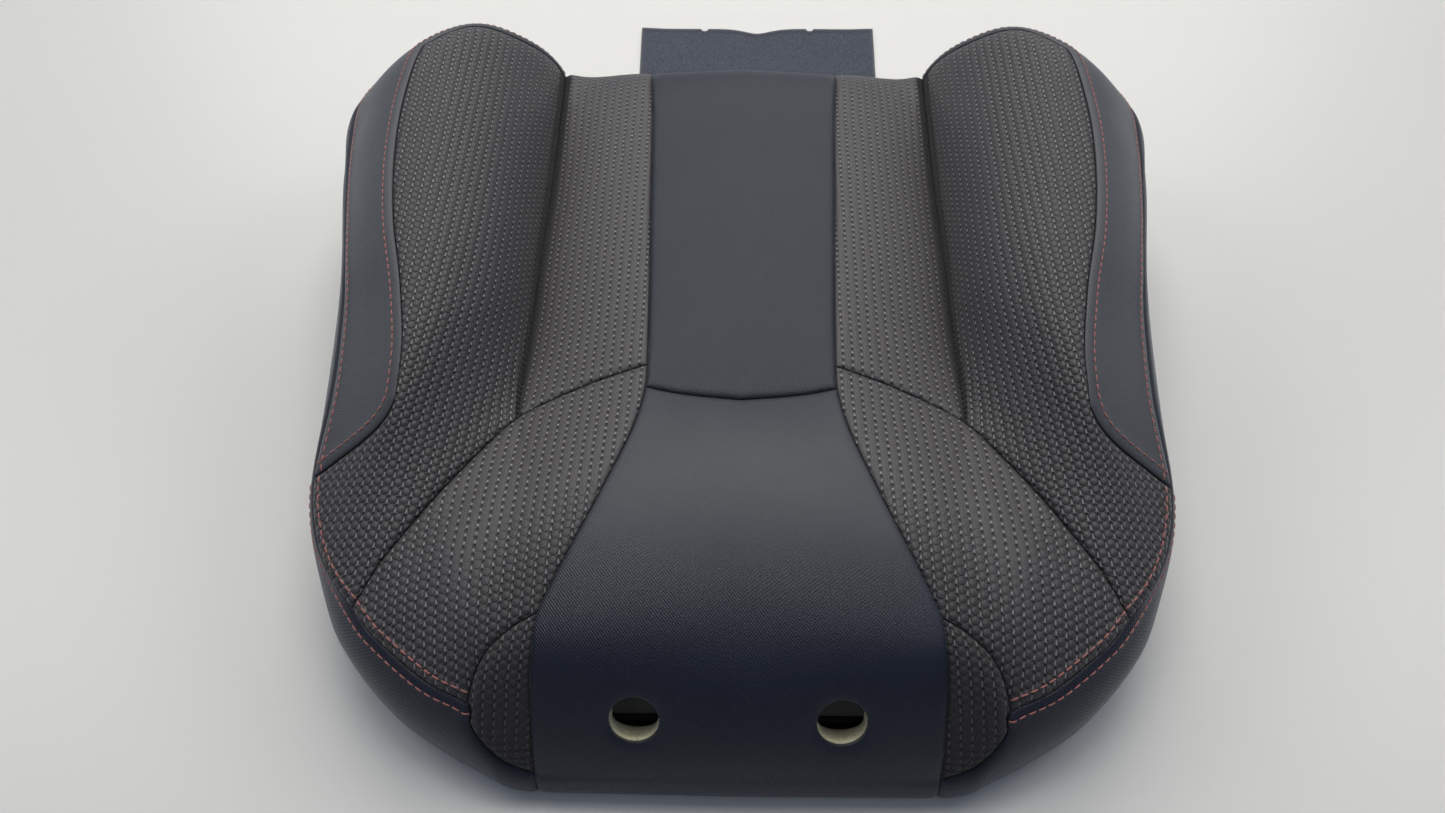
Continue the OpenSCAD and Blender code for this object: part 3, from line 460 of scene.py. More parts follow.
def raw_panel(name):
    """The panel's outer surface: the index of each place's point, points, uv in metres, faces."""
    rects, falls, _ = panels[name]
    keys, points, uvs, faces, parts = {}, [], [], [], []
    for i0, i1, j0, j1 in rects:
        a, b = fine_lines(i0, i1, across), fine_lines(j0, j1, along)
        parts.append((a, b, cubic(a, i0, i1), cubic(b, j0, j1), sheet_key))
    if falls:
        a = fine_lines(*falls, ring_seams)
        parts.append((a, skirt_lines, cubic(a, *falls), skirt_weights, skirt_key))
    for (a, b, wa, wb, key), ids, uv in zip(parts, point_ids(name), flat_panel(name)):
        at, flat = resampled(wa, puffed[ids], wb), resampled(wa, uv, wb)
        numbers = np.zeros((len(a), len(b)), int)
        for m, n in np.ndindex(numbers.shape):
            place = key(a[m], b[n])
            if place not in keys:
                keys[place] = len(points)
                points.append(at[m, n])
                uvs.append(flat[m, n])
            numbers[m, n] = keys[place]
        faces.append(quads_of(numbers, turned=key is skirt_key))
    return keys, np.array(points), np.array(uvs), np.concatenate(faces)


def unwrapped(points, faces):
    """The flat points of a mesh, as Blender unwraps it."""
    mesh = bpy.data.meshes.new("flat")
    mesh.from_pydata(points.tolist(), [], faces.tolist())
    mesh.uv_layers.new(name="UVMap")
    o = add_object("flat", mesh)
    bpy.ops.object.select_all(action="DESELECT")
    bpy.context.view_layer.objects.active = o
    o.select_set(True)
    bpy.ops.object.mode_set(mode="EDIT")
    bpy.ops.mesh.select_all(action="SELECT")
    bpy.ops.uv.unwrap(method="ANGLE_BASED", margin=0.0)
    bpy.ops.object.mode_set(mode="OBJECT")
    loops, which = np.zeros(len(mesh.loops) * 2), np.zeros(len(mesh.loops), int)
    mesh.uv_layers[0].data.foreach_get("uv", loops)
    mesh.loops.foreach_get("vertex_index", which)
    flat = np.zeros((len(points), 2))
    flat[which] = loops.reshape(-1, 2)
    bpy.data.objects.remove(o)
    return flat


def area_of(v, faces):
    if v.shape[1] == 2:
        v = np.concatenate([v, np.zeros((len(v), 1))], 1)
    crossed = np.cross(v[faces[:, 2]] - v[faces[:, 0]], v[faces[:, 3]] - v[faces[:, 1]])
    return 0.5 * np.linalg.norm(crossed, axis=1).sum()


def slope_of(flat, values):
    """The direction on the flat panel in which the values rise."""
    return np.linalg.lstsq(np.c_[flat, np.ones(len(flat))], values, rcond=None)[0][:2]


def flat_panel(name):
    """The panel laid flat, as it is cut from the roll: uv in metres on the coarse net."""
    if name.endswith("_left"):  # cut from the right panel's pattern, turned over
        twin = name.replace("_left", "_right")
        cut_sizes[name] = cut_sizes[twin]
        return [part[::-1] for part in flats[twin]]
    used, faces = compact(quads[owner == list(panels).index(name)])
    p3 = puffed[used]
    flat = unwrapped(p3, faces)
    real = area_of(p3, faces)
    flat *= math.sqrt(real / area_of(flat, faces))
    # u runs across to the right and v towards the lumbar end, or upwards on the gusset
    up, right = (p3[:, 2], -p3[:, 1]) if name.startswith("side_gusset") else (p3[:, 1], p3[:, 0])
    m = slope_of(flat, up)
    m /= np.linalg.norm(m)
    flat = flat @ np.array([[m[1], m[0]], [-m[0], m[1]]])
    if slope_of(flat, right)[0] < 0:
        flat[:, 0] *= -1
    flat -= (flat.min(0) + flat.max(0)) / 2
    boxes = [np.ptp(flat @ np.array([[math.cos(a), -math.sin(a)], [math.sin(a), math.cos(a)]]), axis=0)
             for a in np.linspace(0, math.pi / 2, 46)]
    box = min(boxes, key=lambda s: s[0] * s[1])
    cut_sizes[name] = (float(min(box)), float(max(box)), float(real))
    full = np.zeros((len(coarse), 2))
    full[used] = flat
    flats[name] = [full[ids] for ids in point_ids(name)]
    return flats[name]


def vertex_normals(points, faces):
    n = np.zeros_like(points)
    d = np.cross(points[faces[:, 2]] - points[faces[:, 0]], points[faces[:, 3]] - points[faces[:, 1]])
    for k in range(4):
        np.add.at(n, faces[:, k], d)
    return n / np.linalg.norm(n, axis=1, keepdims=True).clip(1e-12)


def border(faces):
    """The edges that only one face has, each in that face's direction."""
    found = {(int(face[k]), int(face[(k + 1) % 4])): True for face in faces for k in range(4)}
    return [e for e in found if (e[1], e[0]) not in found]


def dense(points, edges, step=0.0004):
    out = []
    for a, b in edges:
        n = max(1, int(np.linalg.norm(points[b] - points[a]) / step))
        for k in range(n):
            out.append(points[a] + (points[b] - points[a]) * k / n)
    return out


def distances(points, line):
    tree = KDTree(len(line))
    for k, p in enumerate(line):
        tree.insert(p, k)
    tree.balance()
    return np.array([tree.find(p)[2] for p in points])


def on_seam(seam, kind, i, j):
    """Whether a place of the sheet lies on seam d, e or f."""
    i = abs(i)
    if kind != "s":
        return False
    if seam == "d":
        return i == D and j <= C
    if seam == "e":
        return (i == E and ARC <= j <= TURN) or (i >= E and j == TURN) or (D <= i <= E and j == ARC)
    return (i == F and j <= G) or (j == 0 and i >= D)


def plateau(dist, height, end, soft):
    """A height beside a seam that falls away round the distance end."""
    return height / (1 + np.exp(((dist - end) / soft).clip(-50, 50)))


cut_sizes, flats = {}, {}
raw = {name: raw_panel(name) for name in panels}
shared = {}  # the sum of the neighbours' normals at each place
for keys, points, _, faces in raw.values():
    normals = vertex_normals(points, faces)
    for key, k in keys.items():
        shared[key] = shared.get(key, np.zeros(3)) + normals[k]

SKIN = 0.0026  # thickness of the trim laminate
ROLL, ROLL_L = 0.0021, 0.0017  # how deep and how wide the cloth rolls down into a seam
SHARE_L = 0.003  # neighbours share their normals so near to a seam
SEAM_GAP = 0.00012  # a hair's gap between each panel and its seam
E_ALLOWANCE = (0.0006, 0.0082, 0.0005)  # the folded cloth under the topstitching stands out so much
F_ALLOWANCE = (0.0005, 0.0072, 0.0006)


def unit(v, least=0.0):
    return v / np.linalg.norm(v, axis=1, keepdims=True).clip(least)


def shaped(name):
    """The panel with its edges rolled into the seams, and its distances to them."""
    keys, points, uvs, faces = raw[name]
    edge = border(faces)
    d = distances(points, dense(points, edge))
    near = np.exp(-(d / SHARE_L) ** 2)[:, None]
    both = unit(np.array([shared[k] for k in keys]))
    normal = unit(vertex_normals(points, faces) * (1 - near) + both * near)
    marks = {}
    for seam in "def":
        ids = {k for key, k in keys.items() if on_seam(seam, *key)}
        line = dense(points, [e for e in edge if e[0] in ids and e[1] in ids])
        marks[seam] = distances(points, line) if line else None
    ridge = np.zeros(len(points))
    if name.startswith("bolster_outer"):
        ridge = np.maximum(ridge, plateau(marks["e"], *E_ALLOWANCE))
    if marks["f"] is not None and not name.startswith("corner"):
        ridge = np.maximum(ridge, plateau(marks["f"], *F_ALLOWANCE))
    outer = points + normal * (ridge - ROLL * np.exp(-d / ROLL_L))[:, None]
    pull = np.zeros_like(points)
    for face in faces:
        at_edge = face[d[face] < 1e-6]
        pull[at_edge] += points[face].mean(0) - points[at_edge]
    outer += unit(pull, 1e-9) * SEAM_GAP
    return dict(keys=keys, points=points, outer=outer, normal=normal, uvs=uvs, faces=faces, d=d,
                marks=marks)


built = {name: shaped(name) for name in panels}


# ---------------------------------------------------------------- meshes
def new_mesh(name, verts, faces, uvs):
    mesh = bpy.data.meshes.new(name)
    mesh.from_pydata(np.asarray(verts).tolist(), [], [list(map(int, f)) for f in faces])
    layer = mesh.uv_layers.new(name="UVMap")
    which = np.zeros(len(mesh.loops), int)
    mesh.loops.foreach_get("vertex_index", which)
    layer.data.foreach_set("uv", np.asarray(uvs)[which].astype(np.float32).ravel())
    mesh.polygons.foreach_set("use_smooth", [True] * len(mesh.polygons))
    mesh.update()
    return add_object(name, mesh)


def shell(top, n):
    """Faces of a closed shell: the top's, the same turned over and n points on, and the walls."""
    return [*top, *(n + top[:, ::-1]), *((b, a, n + a, n + b) for a, b in border(top))]


def attribute(o, name, values):
    a = o.data.attributes.new(name, "FLOAT", "POINT")
    a.data.foreach_set("value", np.asarray(values, np.float32))


def ramp(x, start, length):
    return np.clip((x - start) / length, 0, 1)


def stretch_of(name, i, j):
    """How far the knit is pulled open, at column i and row j: most at the side and headrest end."""
    if name.startswith("bolster_inner"):
        return max(ramp(i, 9.3, 2.2) * np.clip((j - 1) / 3, 0.3, 1), ramp(j, 12, 2.5))
    if name.startswith("insert_shoulder"):
        return max(ramp(i, 10, 3), ramp(j, 18.5, 2.5))
    return float(name.startswith("corner"))


# painted shade beside the trench: its width and soft edge on the bolster and on the insert
TRENCH_SHADE = {"bolster": (0.0098, 0.0014), "insert": (0.0048, 0.0040)}  # width and soft edge


def painted_shade_of(name, to_trench, rows):
    """How much painted shade darkens the cloth where it turns down, beside the trench and at the headrest
    end.
    """
    if name.startswith(("corner_panel", "insert_shoulder")):
        return np.interp(rows, [19.5, G, 24, N], [0, 0.35, 0.6, 0.75])
    if to_trench is None or panels[name][2] != "dotted":
        return np.zeros(len(rows))
    deep, soft = TRENCH_SHADE[name.split("_")[0]]
    deep = deep * np.interp(rows, [0, 0.7, 2.5, 9, 12.5, C], [0.1, 0.3, 1, 1, 0.45, 0.1])
    painted_shade = 1 - ramp(to_trench, deep, soft)
    return painted_shade * painted_shade * (3 - 2 * painted_shade)


def painted_sheen_of(name, rows):
    """How far the plain cloth is lightened to grey by painted sheen: a painted highlight on the outer
    bolsters and across the main panel's crest.
    """
    if name.startswith("bolster_outer"):
        return np.full(len(rows), 0.85)
    if name == "centre_main_panel":
        return 0.6 * np.exp(-((rows - 18.4) / 2.1) ** 2)
    return np.zeros(len(rows))


LINING = SKIN + 0.0006  # depth of the inner face, and how far it rolls in with the outer one
LINING_ROLL = ROLL * 0.55
cloth_objects = {}
for name, p in built.items():
    n = len(p["outer"])
    depth = LINING + LINING_ROLL * np.exp(-p["d"] / ROLL_L)
    points = np.concatenate([p["outer"], p["points"] - p["normal"] * depth[:, None]])
    o = new_mesh("cloth_" + name, points, shell(p["faces"], n), np.concatenate([p["uvs"]] * 2))
    on_sheet = [key[0] == "s" for key in p["keys"]]
    stretch = [stretch_of(name, abs(key[1]), key[2]) if key[0] == "s" else 0 for key in p["keys"]]
    rows = np.array([key[2] for key in p["keys"]])
    # painted shade where the cloth turns down beside the trench and at the headrest end
    painted_shade = painted_shade_of(name, p["marks"]["d"], np.where(on_sheet, rows, 0))
    # painted sheen: a grey painted highlight on the plain cloth
    painted_sheen = painted_sheen_of(name, np.where(on_sheet, rows, N))
    attribute(o, "stretch", stretch * 2)
    attribute(o, "seam", np.concatenate([p["d"], np.zeros(n)]))
    attribute(o, "painted_shade", np.concatenate([painted_shade, painted_shade]))
    attribute(o, "painted_sheen", np.concatenate([painted_sheen, painted_sheen]))
    cloth_objects[name] = o

# ---------------------------------------------------------------- headrest holes, with a dimple round each
AXIS = Vector((0, -math.sqrt(0.5), math.sqrt(0.5)))
HOLE_R = 0.0144
FINER_R, FINER_REACH = 0.024, 0.04  # the net is finer so far round a hole
DRILL_L, DRILL_SHIFT = 0.05, 0.014  # the cutting cylinder and its middle
DIMPLE, DIMPLE_L = 0.0015, 0.004  # how deep the cloth sinks in at a hole, and how wide
DIMPLE_R, DIMPLE_REACH = 0.035, 0.05
mounts = frame["record"]["mounts"]
passages = [Vector(m["pos_m"]) for m in mounts if m["name"].startswith("headrest_passage")]


def off_axis(co, centre):
    r = co - centre
    return (r - AXIS * r.dot(AXIS)).length


o = cloth_objects["centre_main_panel"]
bm = bmesh.new()
bm.from_mesh(o.data)
for centre in passages:
    close = [f for f in bm.faces if (f.calc_center_median() - centre).length < FINER_REACH
             and all(off_axis(v.co, centre) < FINER_R for v in f.verts)]
    finer = list({e for f in close for e in f.edges})
    bmesh.ops.subdivide_edges(bm, edges=finer, cuts=1, use_grid_fill=True)
bm.to_mesh(o.data)
bm.free()
for centre in passages:
    bpy.ops.mesh.primitive_cylinder_add(vertices=96, radius=HOLE_R, depth=DRILL_L)
    drill = bpy.context.object
    drill.rotation_mode = "QUATERNION"
    drill.rotation_quaternion = AXIS.to_track_quat("Z", "Y")
    drill.location = centre + AXIS * DRILL_SHIFT
    mod = o.modifiers.new("hole", "BOOLEAN")
    mod.object, mod.solver, mod.operation = drill, "EXACT", "DIFFERENCE"
    bpy.context.view_layer.update()
    cut = bpy.data.meshes.new_from_object(o.evaluated_get(bpy.context.evaluated_depsgraph_get()))
    o.modifiers.clear()
    o.data = cut
    bpy.data.objects.remove(drill)
for v in o.data.vertices:
    for centre in passages:
        radial = off_axis(v.co, centre)
        if radial < DIMPLE_R and (v.co - centre).length < DIMPLE_REACH:
            v.co -= AXIS * (DIMPLE * math.exp(-max(radial - HOLE_R, 0) / DIMPLE_L))
o.data.polygons.foreach_set("use_smooth", [True] * len(o.data.polygons))
o.name = o.data.name = "cloth_centre_main_panel"


# ---------------------------------------------------------------- materials
class Signal:
    """A shader socket that can be reckoned with: + - * and / each add a math node."""

    def __init__(self, shader, socket):
        self.shader, self.socket = shader, socket

    def __add__(self, other):
        return self.shader.math("ADD", self, other)

    def __sub__(self, other):
        return self.shader.math("SUBTRACT", self, other)

    def __rsub__(self, other):
        return self.shader.math("SUBTRACT", other, self)

    def __mul__(self, other):
        return self.shader.math("MULTIPLY", self, other)

    def __truediv__(self, other):
        return self.shader.math("DIVIDE", self, other)


class Nodes:
    """A material's nodes written as short calls; every call gives back a signal."""

    def __init__(self, name):
        self.material = bpy.data.materials.new(name)
        self.material.use_nodes = True
        self.tree = self.material.node_tree
        self.tree.nodes.clear()
        out = self.tree.nodes.new("ShaderNodeOutputMaterial")
        self.surface = self.tree.nodes.new("ShaderNodeBsdfPrincipled")
        self.tree.links.new(self.surface.outputs[0], out.inputs[0])

    def put(self, socket, value):
        if isinstance(value, Signal):
            self.tree.links.new(value.socket, socket)
        else:
            socket.default_value = value

    def node(self, kind, inputs=(), output=0, **settings):
        n = self.tree.nodes.new("ShaderNode" + kind)
        for name, value in settings.items():
            setattr(n, name, value)
        for name, value in dict(inputs).items():
            self.put(n.inputs[name], value)
        return Signal(self, n.outputs[output])

    def math(self, operation, *values):
        return self.node("Math", enumerate(values), operation=operation)

    def step(self, v, low, high, to=(0, 1)):
        """A soft step as v goes from low to high."""
        return self.node("MapRange", enumerate((v, low, high, *to)), interpolation_type="SMOOTHSTEP")

    def mix(self, share, a, b):
        return self.node("Mix", {0: share, 6: a, 7: b}, 2, data_type="RGBA")

    def noise(self, where, scale, detail=2.0, rough=0.5):
        return self.node("TexNoise", dict(Vector=where, Scale=scale, Detail=detail, Roughness=rough))

    def voronoi(self, where, scale):
        return self.node("TexVoronoi", dict(Vector=where, Scale=scale), "Distance")

    def split(self, vector):
        n = self.tree.nodes.new("ShaderNodeSeparateXYZ")
        self.put(n.inputs[0], vector)
        return [Signal(self, socket) for socket in n.outputs]

    def uv(self):
        where = self.node("UVMap", uv_map="UVMap")
        return [where] + self.split(where)[:2]

    def place(self):
        return self.node("TexCoord", output="Object")

    def value(self, name):
        return self.node("Attribute", output="Fac", attribute_name=name)

    def bump(self, height, distance, strength, **under):
        return self.node("Bump", dict(Height=height, Distance=distance, Strength=strength, **under))

    def finish(self, colour, roughness, normal, **more):
        more.update(Base_Color=colour, Roughness=roughness, Normal=normal)
        for name, value in more.items():
            self.put(self.surface.inputs[name.replace("_", " ")], value)
        return self.material


def hexa(text):
    """A screen colour as linear light."""
    c = [int(text[k:k + 2], 16) / 255 for k in (0, 2, 4)]
    return tuple(x / 12.92 if x < 0.04045 else ((x + 0.055) / 1.055) ** 2.4 for x in c) + (1.0,)


PER_MM = 6283.2  # radians in a metre of waves that are a millimetre long
CELL_W, CELL_L = 6.45, 5.6  # one cell of the dotted knit, in millimetres
ROW_SHIFT = 6.0  # columns after which the slanting rows of dots repeat
DOT_AT, HOLE_AT = 0.27, 0.76  # places of the light dot and the dark hole in a cell
SEAM_SHADE = 0.0012  # the cloth is dark so far from a seam


def dotted_cloth():
    g = Nodes("dotted_knit")
    uv, x, y = g.uv()
    stretch, painted_shade = g.value("stretch"), g.value("painted_shade")

    def ellipse(px, py, rx, ry):
        a, b = px / rx, py / ry
        return g.math("SQRT", a * a + b * b)

    u = (x + (g.noise(uv, 60) - 0.5) * 0.0012) / (CELL_W / 1000)
    cell = g.math("FLOOR", u)
    fu = u - cell - 0.5
    fv = g.math("FRACT", y / (CELL_L / 1000) + cell / ROW_SHIFT)
    off_middle = g.math("ABSOLUTE", fu)
    dot = g.step(ellipse(fu * CELL_W, (fv - DOT_AT) * CELL_L, 0.72, stretch * 0.9 + 1.05), 1.1, 0.5)
    hole = g.step(ellipse(fu * CELL_W, (fv - HOLE_AT) * CELL_L, 0.95, 1.25), 1.25, 0.55)
    # round pillows between the columns of dots show where the knit is pulled
    half_row = g.math("SIGN", fu) * (0.5 / ROW_SHIFT)
    down_mm = (g.math("FRACT", fv + half_row) - 0.5) * CELL_L
    from_middle = ellipse((off_middle - 0.5) * CELL_W, down_mm, 2.55, 2.65)
    off_ring = g.math("ABSOLUTE", from_middle - 1.0)
    under_side = g.step(down_mm, 2.2, -1.6, (0.35, 1.0))
    # the dark arcs are partly the knit's gaps round its pillows and partly painted shadow under each
    # pillow's rim, heavier on its under side
    arc = g.step(off_ring, 0.17, 0.02) * under_side * stretch
    dome = g.step(from_middle, 1.0, 0.1) * stretch
    yarn = g.noise(uv, 1500, 3.0, 0.65)
    yarn_wide = g.noise(uv, 420, 2.0, 0.6)
    stitch = g.math("SINE", (y + off_middle * 0.003) * (PER_MM / 1.12)) * 0.5
    base = g.mix(g.step(yarn, 0.33, 0.70), hexa("1c1a1b"), hexa("595457"))
    for share, colour in (
            # dark arcs: the gaps round the pillows, with painted shadow in them
            (g.step(yarn_wide, 0.35, 0.75) * 0.25, "454144"), (arc * 0.9, "0f0e0f"),
            (hole * 0.95, "080808"), (dot * (0.9 - stretch * 0.25), "9a9598"),
            # near-black painted shade beside the trench and at the headrest end
            (g.step(g.value("seam"), SEAM_SHADE, 0.0), "0b0b0c"), (painted_shade * 0.96, "030304")):
        base = g.mix(share, base, hexa(colour))
    height = dot * 0.35 + hole * -0.9 + off_middle * 0.5 + arc * -1.2 + dome * 0.7
    fine = yarn * 0.8 + stitch * 0.3
    normal = g.bump(height, 0.0008, 0.9, Normal=g.bump(fine, 0.00025, 0.8))
    return g.finish(base, painted_shade * 0.5 + 0.48, normal, Sheen_Weight=0.12, Sheen_Roughness=0.4,
                    Specular_IOR_Level=0.52)


TWILL_X, TWILL_Y = 0.78, 0.62  # direction of the twill's ribs


def plain_cloth():
    g = Nodes("plain_twill")
    uv, x, y = g.uv()
    warp = (g.noise(uv, 45) - 0.5) * 0.0009
    rib = g.math("SINE", (x * TWILL_X + y * TWILL_Y + warp) * (PER_MM / 1.45))
    cross = g.math("SINE", (y * TWILL_X - x * TWILL_Y) * (PER_MM / 1.9))
    weave = rib * 0.5 + rib * cross * 0.35
    fuzz = g.noise(uv, 1700, 2.0, 0.6)
    cloud = g.noise(uv, 14, 3.0, 0.5)
    grain = g.noise(uv, 620, 2.0, 0.7)
    tone = weave * 0.42 + (fuzz * 0.5 + grain * 0.5)
    # painted sheen: a grey painted highlight, broken up by the cloud and the weave
    painted_sheen = g.value("painted_sheen") * g.step(cloud, 0.1, 0.6, (0.7, 1.0))
    base = g.mix(g.step(tone, 0.15, 0.85), hexa("070a16"), hexa("1b2136"))
    for share, colour in (
            (g.step(cloud, 0.4, 0.75) * 0.2, "242a3a"),
            (painted_sheen * g.step(tone, 0.1, 0.75, (0.55, 1.0)), "56585c"),
            (g.step(g.value("seam"), SEAM_SHADE, 0.0), "0b0c0f")):
        base = g.mix(share, base, hexa(colour))
    normal = g.bump(weave * 0.6 + (fuzz * 0.5 + grain * 0.8), 0.0003, 0.8)
    return g.finish(base, 0.44, normal, Sheen_Weight=0.30, Sheen_Roughness=0.3,
                    Sheen_Tint=(0.85, 0.92, 1.0, 1.0), Specular_IOR_Level=0.45)


def foam_material():
    g = Nodes("moulded_foam")
    at = g.place()
    cells = g.voronoi(at, 700)
    skin = g.noise(at, 60, 4.0)
    pits = g.step(g.voronoi(at, 260), 0.0, 0.22)
    base = g.mix(g.step(skin, 0.35, 0.7), hexa("e9e3c6"), hexa("e0d8b6"))
    base = g.mix(g.step(cells, 0.55, 0.1), base, hexa("c6be9a"))
    return g.finish(base, 0.95, g.bump(cells * 0.6 + pits * 0.5, 0.0005, 0.6), Sheen_Weight=0.1)


def thread_material():
    g = Nodes("sewing_thread")
    _, x, y = g.uv()
    twist = g.math("SINE", (y + x * 0.4) * (PER_MM / 0.9))
    # the twist's light and dark stripes are painted highlight on each ply and painted shade between them
    base = g.mix(g.step(twist, -0.6, 0.8), hexa("7a3a38"), hexa("c8827a"))
    return g.finish(base, 0.6, g.bump(twist, 0.0001, 0.5), Sheen_Weight=0.3)


def felt_material():
    g = Nodes("needle_felt")
    at = g.place()
    x, y, z = g.split(at)
    fibre = g.noise(g.node("CombineXYZ", enumerate((x, y * 0.25, z))), 900, 4.0, 0.7)
    cloud = g.noise(at, 35, 3.0)
    base = g.mix(g.step(fibre, 0.3, 0.75), hexa("1c2130"), hexa("4b5263"))
    for share, colour in ((g.step(cloud, 0.4, 0.8) * 0.3, "2b3140"), (g.value("hem") * 0.75, "131519"),
                          (g.value("fray") * 0.7, "6f6f68")):
        base = g.mix(share, base, hexa(colour))
    return g.finish(base, 0.95, g.bump(fibre, 0.0008, 0.9), Sheen_Weight=0.25, Sheen_Roughness=0.6)


def sleeve_material():
    g = Nodes("listing_sleeve")
    fibre = g.noise(g.place(), 1200, 4.0, 0.7)
    base = g.mix(g.step(fibre, 0.3, 0.7), hexa("b9b9b4"), hexa("e6e6e2"))
    return g.finish(base, 0.9, g.bump(fibre, 0.0003, 0.7), Sheen_Weight=0.2)


def wire_material():
    g = Nodes("drawn_wire")
    at = g.place()
    draw = g.noise(at, 2500, 2.0, 0.6)
    oil = g.noise(at, 90, 3.0)
    base = g.mix(g.step(draw, 0.3, 0.7), hexa("8b8c8e"), hexa("b7b8ba"))
    base = g.mix(g.step(oil, 0.5, 0.8) * 0.4, base, hexa("6e6a64"))
    return g.finish(base, g.step(oil, 0.2, 0.9, (0.28, 0.5)), g.bump(draw, 0.00005, 0.4), Metallic=1.0)


def strip_material():
    g = Nodes("extruded_plastic")
    at = g.place()
    grain = g.noise(at, 1800, 3.0, 0.6)
    scuff = g.noise(at, 55, 4.0, 0.7)
    base = g.mix(g.step(scuff, 0.5, 0.8), hexa("1b1b1d"), hexa("38383a"))
    rough = g.step(scuff, 0.3, 0.8, (0.42, 0.6))
    return g.finish(base, rough, g.bump(grain, 0.00006, 0.5), Specular_IOR_Level=0.4)


def table_material():
    g = Nodes("pale_table")
    at = g.place()
    base = g.mix(g.noise(at, 2.0), (0.74, 0.725, 0.695, 1), (0.77, 0.755, 0.725, 1))
    return g.finish(base, 0.36, g.bump(g.noise(at, 900), 0.00005, 0.3), Specular_IOR_Level=0.5)


materials = dict(dotted=dotted_cloth(), plain=plain_cloth(), foam=foam_material(), felt=felt_material(),
                 thread=thread_material(), sleeve=sleeve_material(), wire=wire_material(),
                 strip=strip_material(), table=table_material())


def coat(o, key):
    o.data.materials.clear()
    o.data.materials.append(materials[key])


def dress(o, key, body, slot, node=None):
    """Give a piece its material and body, and hide the CAD node it stands for; the slot is not used."""
    coat(o, key)
    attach(o, body)
    if node:
        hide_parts(node)


# ---------------------------------------------------------------- foam
def weld(mesh, longest=None):
    """Join the points of a CAD mesh that coincide, and cut its edges that are over the longest."""
    bm = bmesh.new()
    bm.from_mesh(mesh)
    bmesh.ops.remove_doubles(bm, verts=bm.verts, dist=1e-6)
    if longest:
        bmesh.ops.subdivide_edges(bm, edges=[e for e in bm.edges if e.calc_length() > longest], cuts=2)
    bm.to_mesh(mesh)
    bm.free()


FOAM_UNDER = SKIN + 0.0014  # the foam lies so far below the cover's outer face
FOAM_REACH = 0.014  # points of the foam that are further from the cover stay
VALLEY_W = 0.19  # half width of the valley, where the foam stays as the CAD has it
foam = add_object("foam_cushion", nodes["foam_bun"].data.copy())
weld(foam.data)
mod = foam.modifiers.new("remesh", "REMESH")
mod.mode, mod.voxel_size = "VOXEL", 0.003
mod = foam.modifiers.new("smooth", "SMOOTH")
mod.factor, mod.iterations = 0.5, 3
bpy.context.view_layer.update()
mesh = bpy.data.meshes.new_from_object(foam.evaluated_get(bpy.context.evaluated_depsgraph_get()))
foam.modifiers.clear()
foam.data = mesh
mesh.name = "foam_cushion"
# the foam ends under the side gussets and outer bolster panels also where they were drawn in
for name in ("side_gusset_right", "side_gusset_left", "bolster_outer_right", "bolster_outer_left"):
    tree = BVHTree.FromPolygons(built[name]["points"].tolist(), built[name]["faces"].tolist())
    for v in mesh.vertices:
        in_valley = abs(v.co.x) < VALLEY_W and v.co.y > 0
        where, normal, _, far = tree.find_nearest(v.co)
        above = (v.co - where).dot(normal) + FOAM_UNDER
        if not in_valley and far < FOAM_REACH and above > 0:
            v.co -= normal * above
mesh.polygons.foreach_set("use_smooth", [True] * len(mesh.polygons))
dress(foam, "foam", "pad", "foam", "foam_bun")

# ---------------------------------------------------------------- trim on the foam
for name, o in cloth_objects.items():
    kind = panels[name][2]
    dress(o, kind, "pad", kind + "_cloth", name)


# ---------------------------------------------------------------- topstitching
def contour(p, dist, level):
    """Polylines on a panel where dist crosses level: lists of (point, normal)."""
    faces, links, at = p["faces"], {}, {}
    tris = np.concatenate([faces[:, [0, 1, 2]], faces[:, [0, 2, 3]]])
    above = dist > level
    mixed = tris[(above[tris].sum(1) > 0) & (above[tris].sum(1) < 3)]
    for t in mixed:
        cut = []
        for a, b in ((t[0], t[1]), (t[1], t[2]), (t[2], t[0])):
            if above[a] == above[b]:
                continue
            e = (int(min(a, b)), int(max(a, b)))
            if e not in at:
                s = (level - dist[e[0]]) / (dist[e[1]] - dist[e[0]])
                at[e] = [p[kind][e[0]] * (1 - s) + p[kind][e[1]] * s for kind in ("outer", "normal")]
            cut.append(e)
        if len(cut) == 2:
            links.setdefault(cut[0], []).append(cut[1])
            links.setdefault(cut[1], []).append(cut[0])
    lines, seen = [], set()
    for start in [e for e in links if len(links[e]) == 1] + list(links):
        chain, ahead = [], [start]
        while ahead and ahead[0] not in seen:
            seen.add(ahead[0])
            chain.append(ahead[0])
            ahead = [e for e in links[ahead[0]] if e not in seen]
        if len(chain) > 3:
            lines.append([at[e] for e in chain])
    return lines


PITCH, THREAD = 0.0062, 0.00058  # from stitch to stitch, and the thread's radius
STITCH_START, STITCH_SHARE = 0.12, 0.78  # where a stitch starts in its pitch, and how long it is
SIDES = 6
# a stitch's rings: share of its length, and width and height over the cloth in the thread's radii
STITCH_RINGS = ((0, 0.35, -0.5), (0.08, 0.85, 0.1), (0.3, 1, 0.55),
                (0.7, 1, 0.55), (0.92, 0.85, 0.1), (1, 0.35, -0.5))
FLATTER = 0.8  # a stitch's height is so much of its width
UV_ROUND = 0.003  # width of the thread's uv, all round
NEAR = 0.0005  # the thread's direction is taken between two points so far before and behind


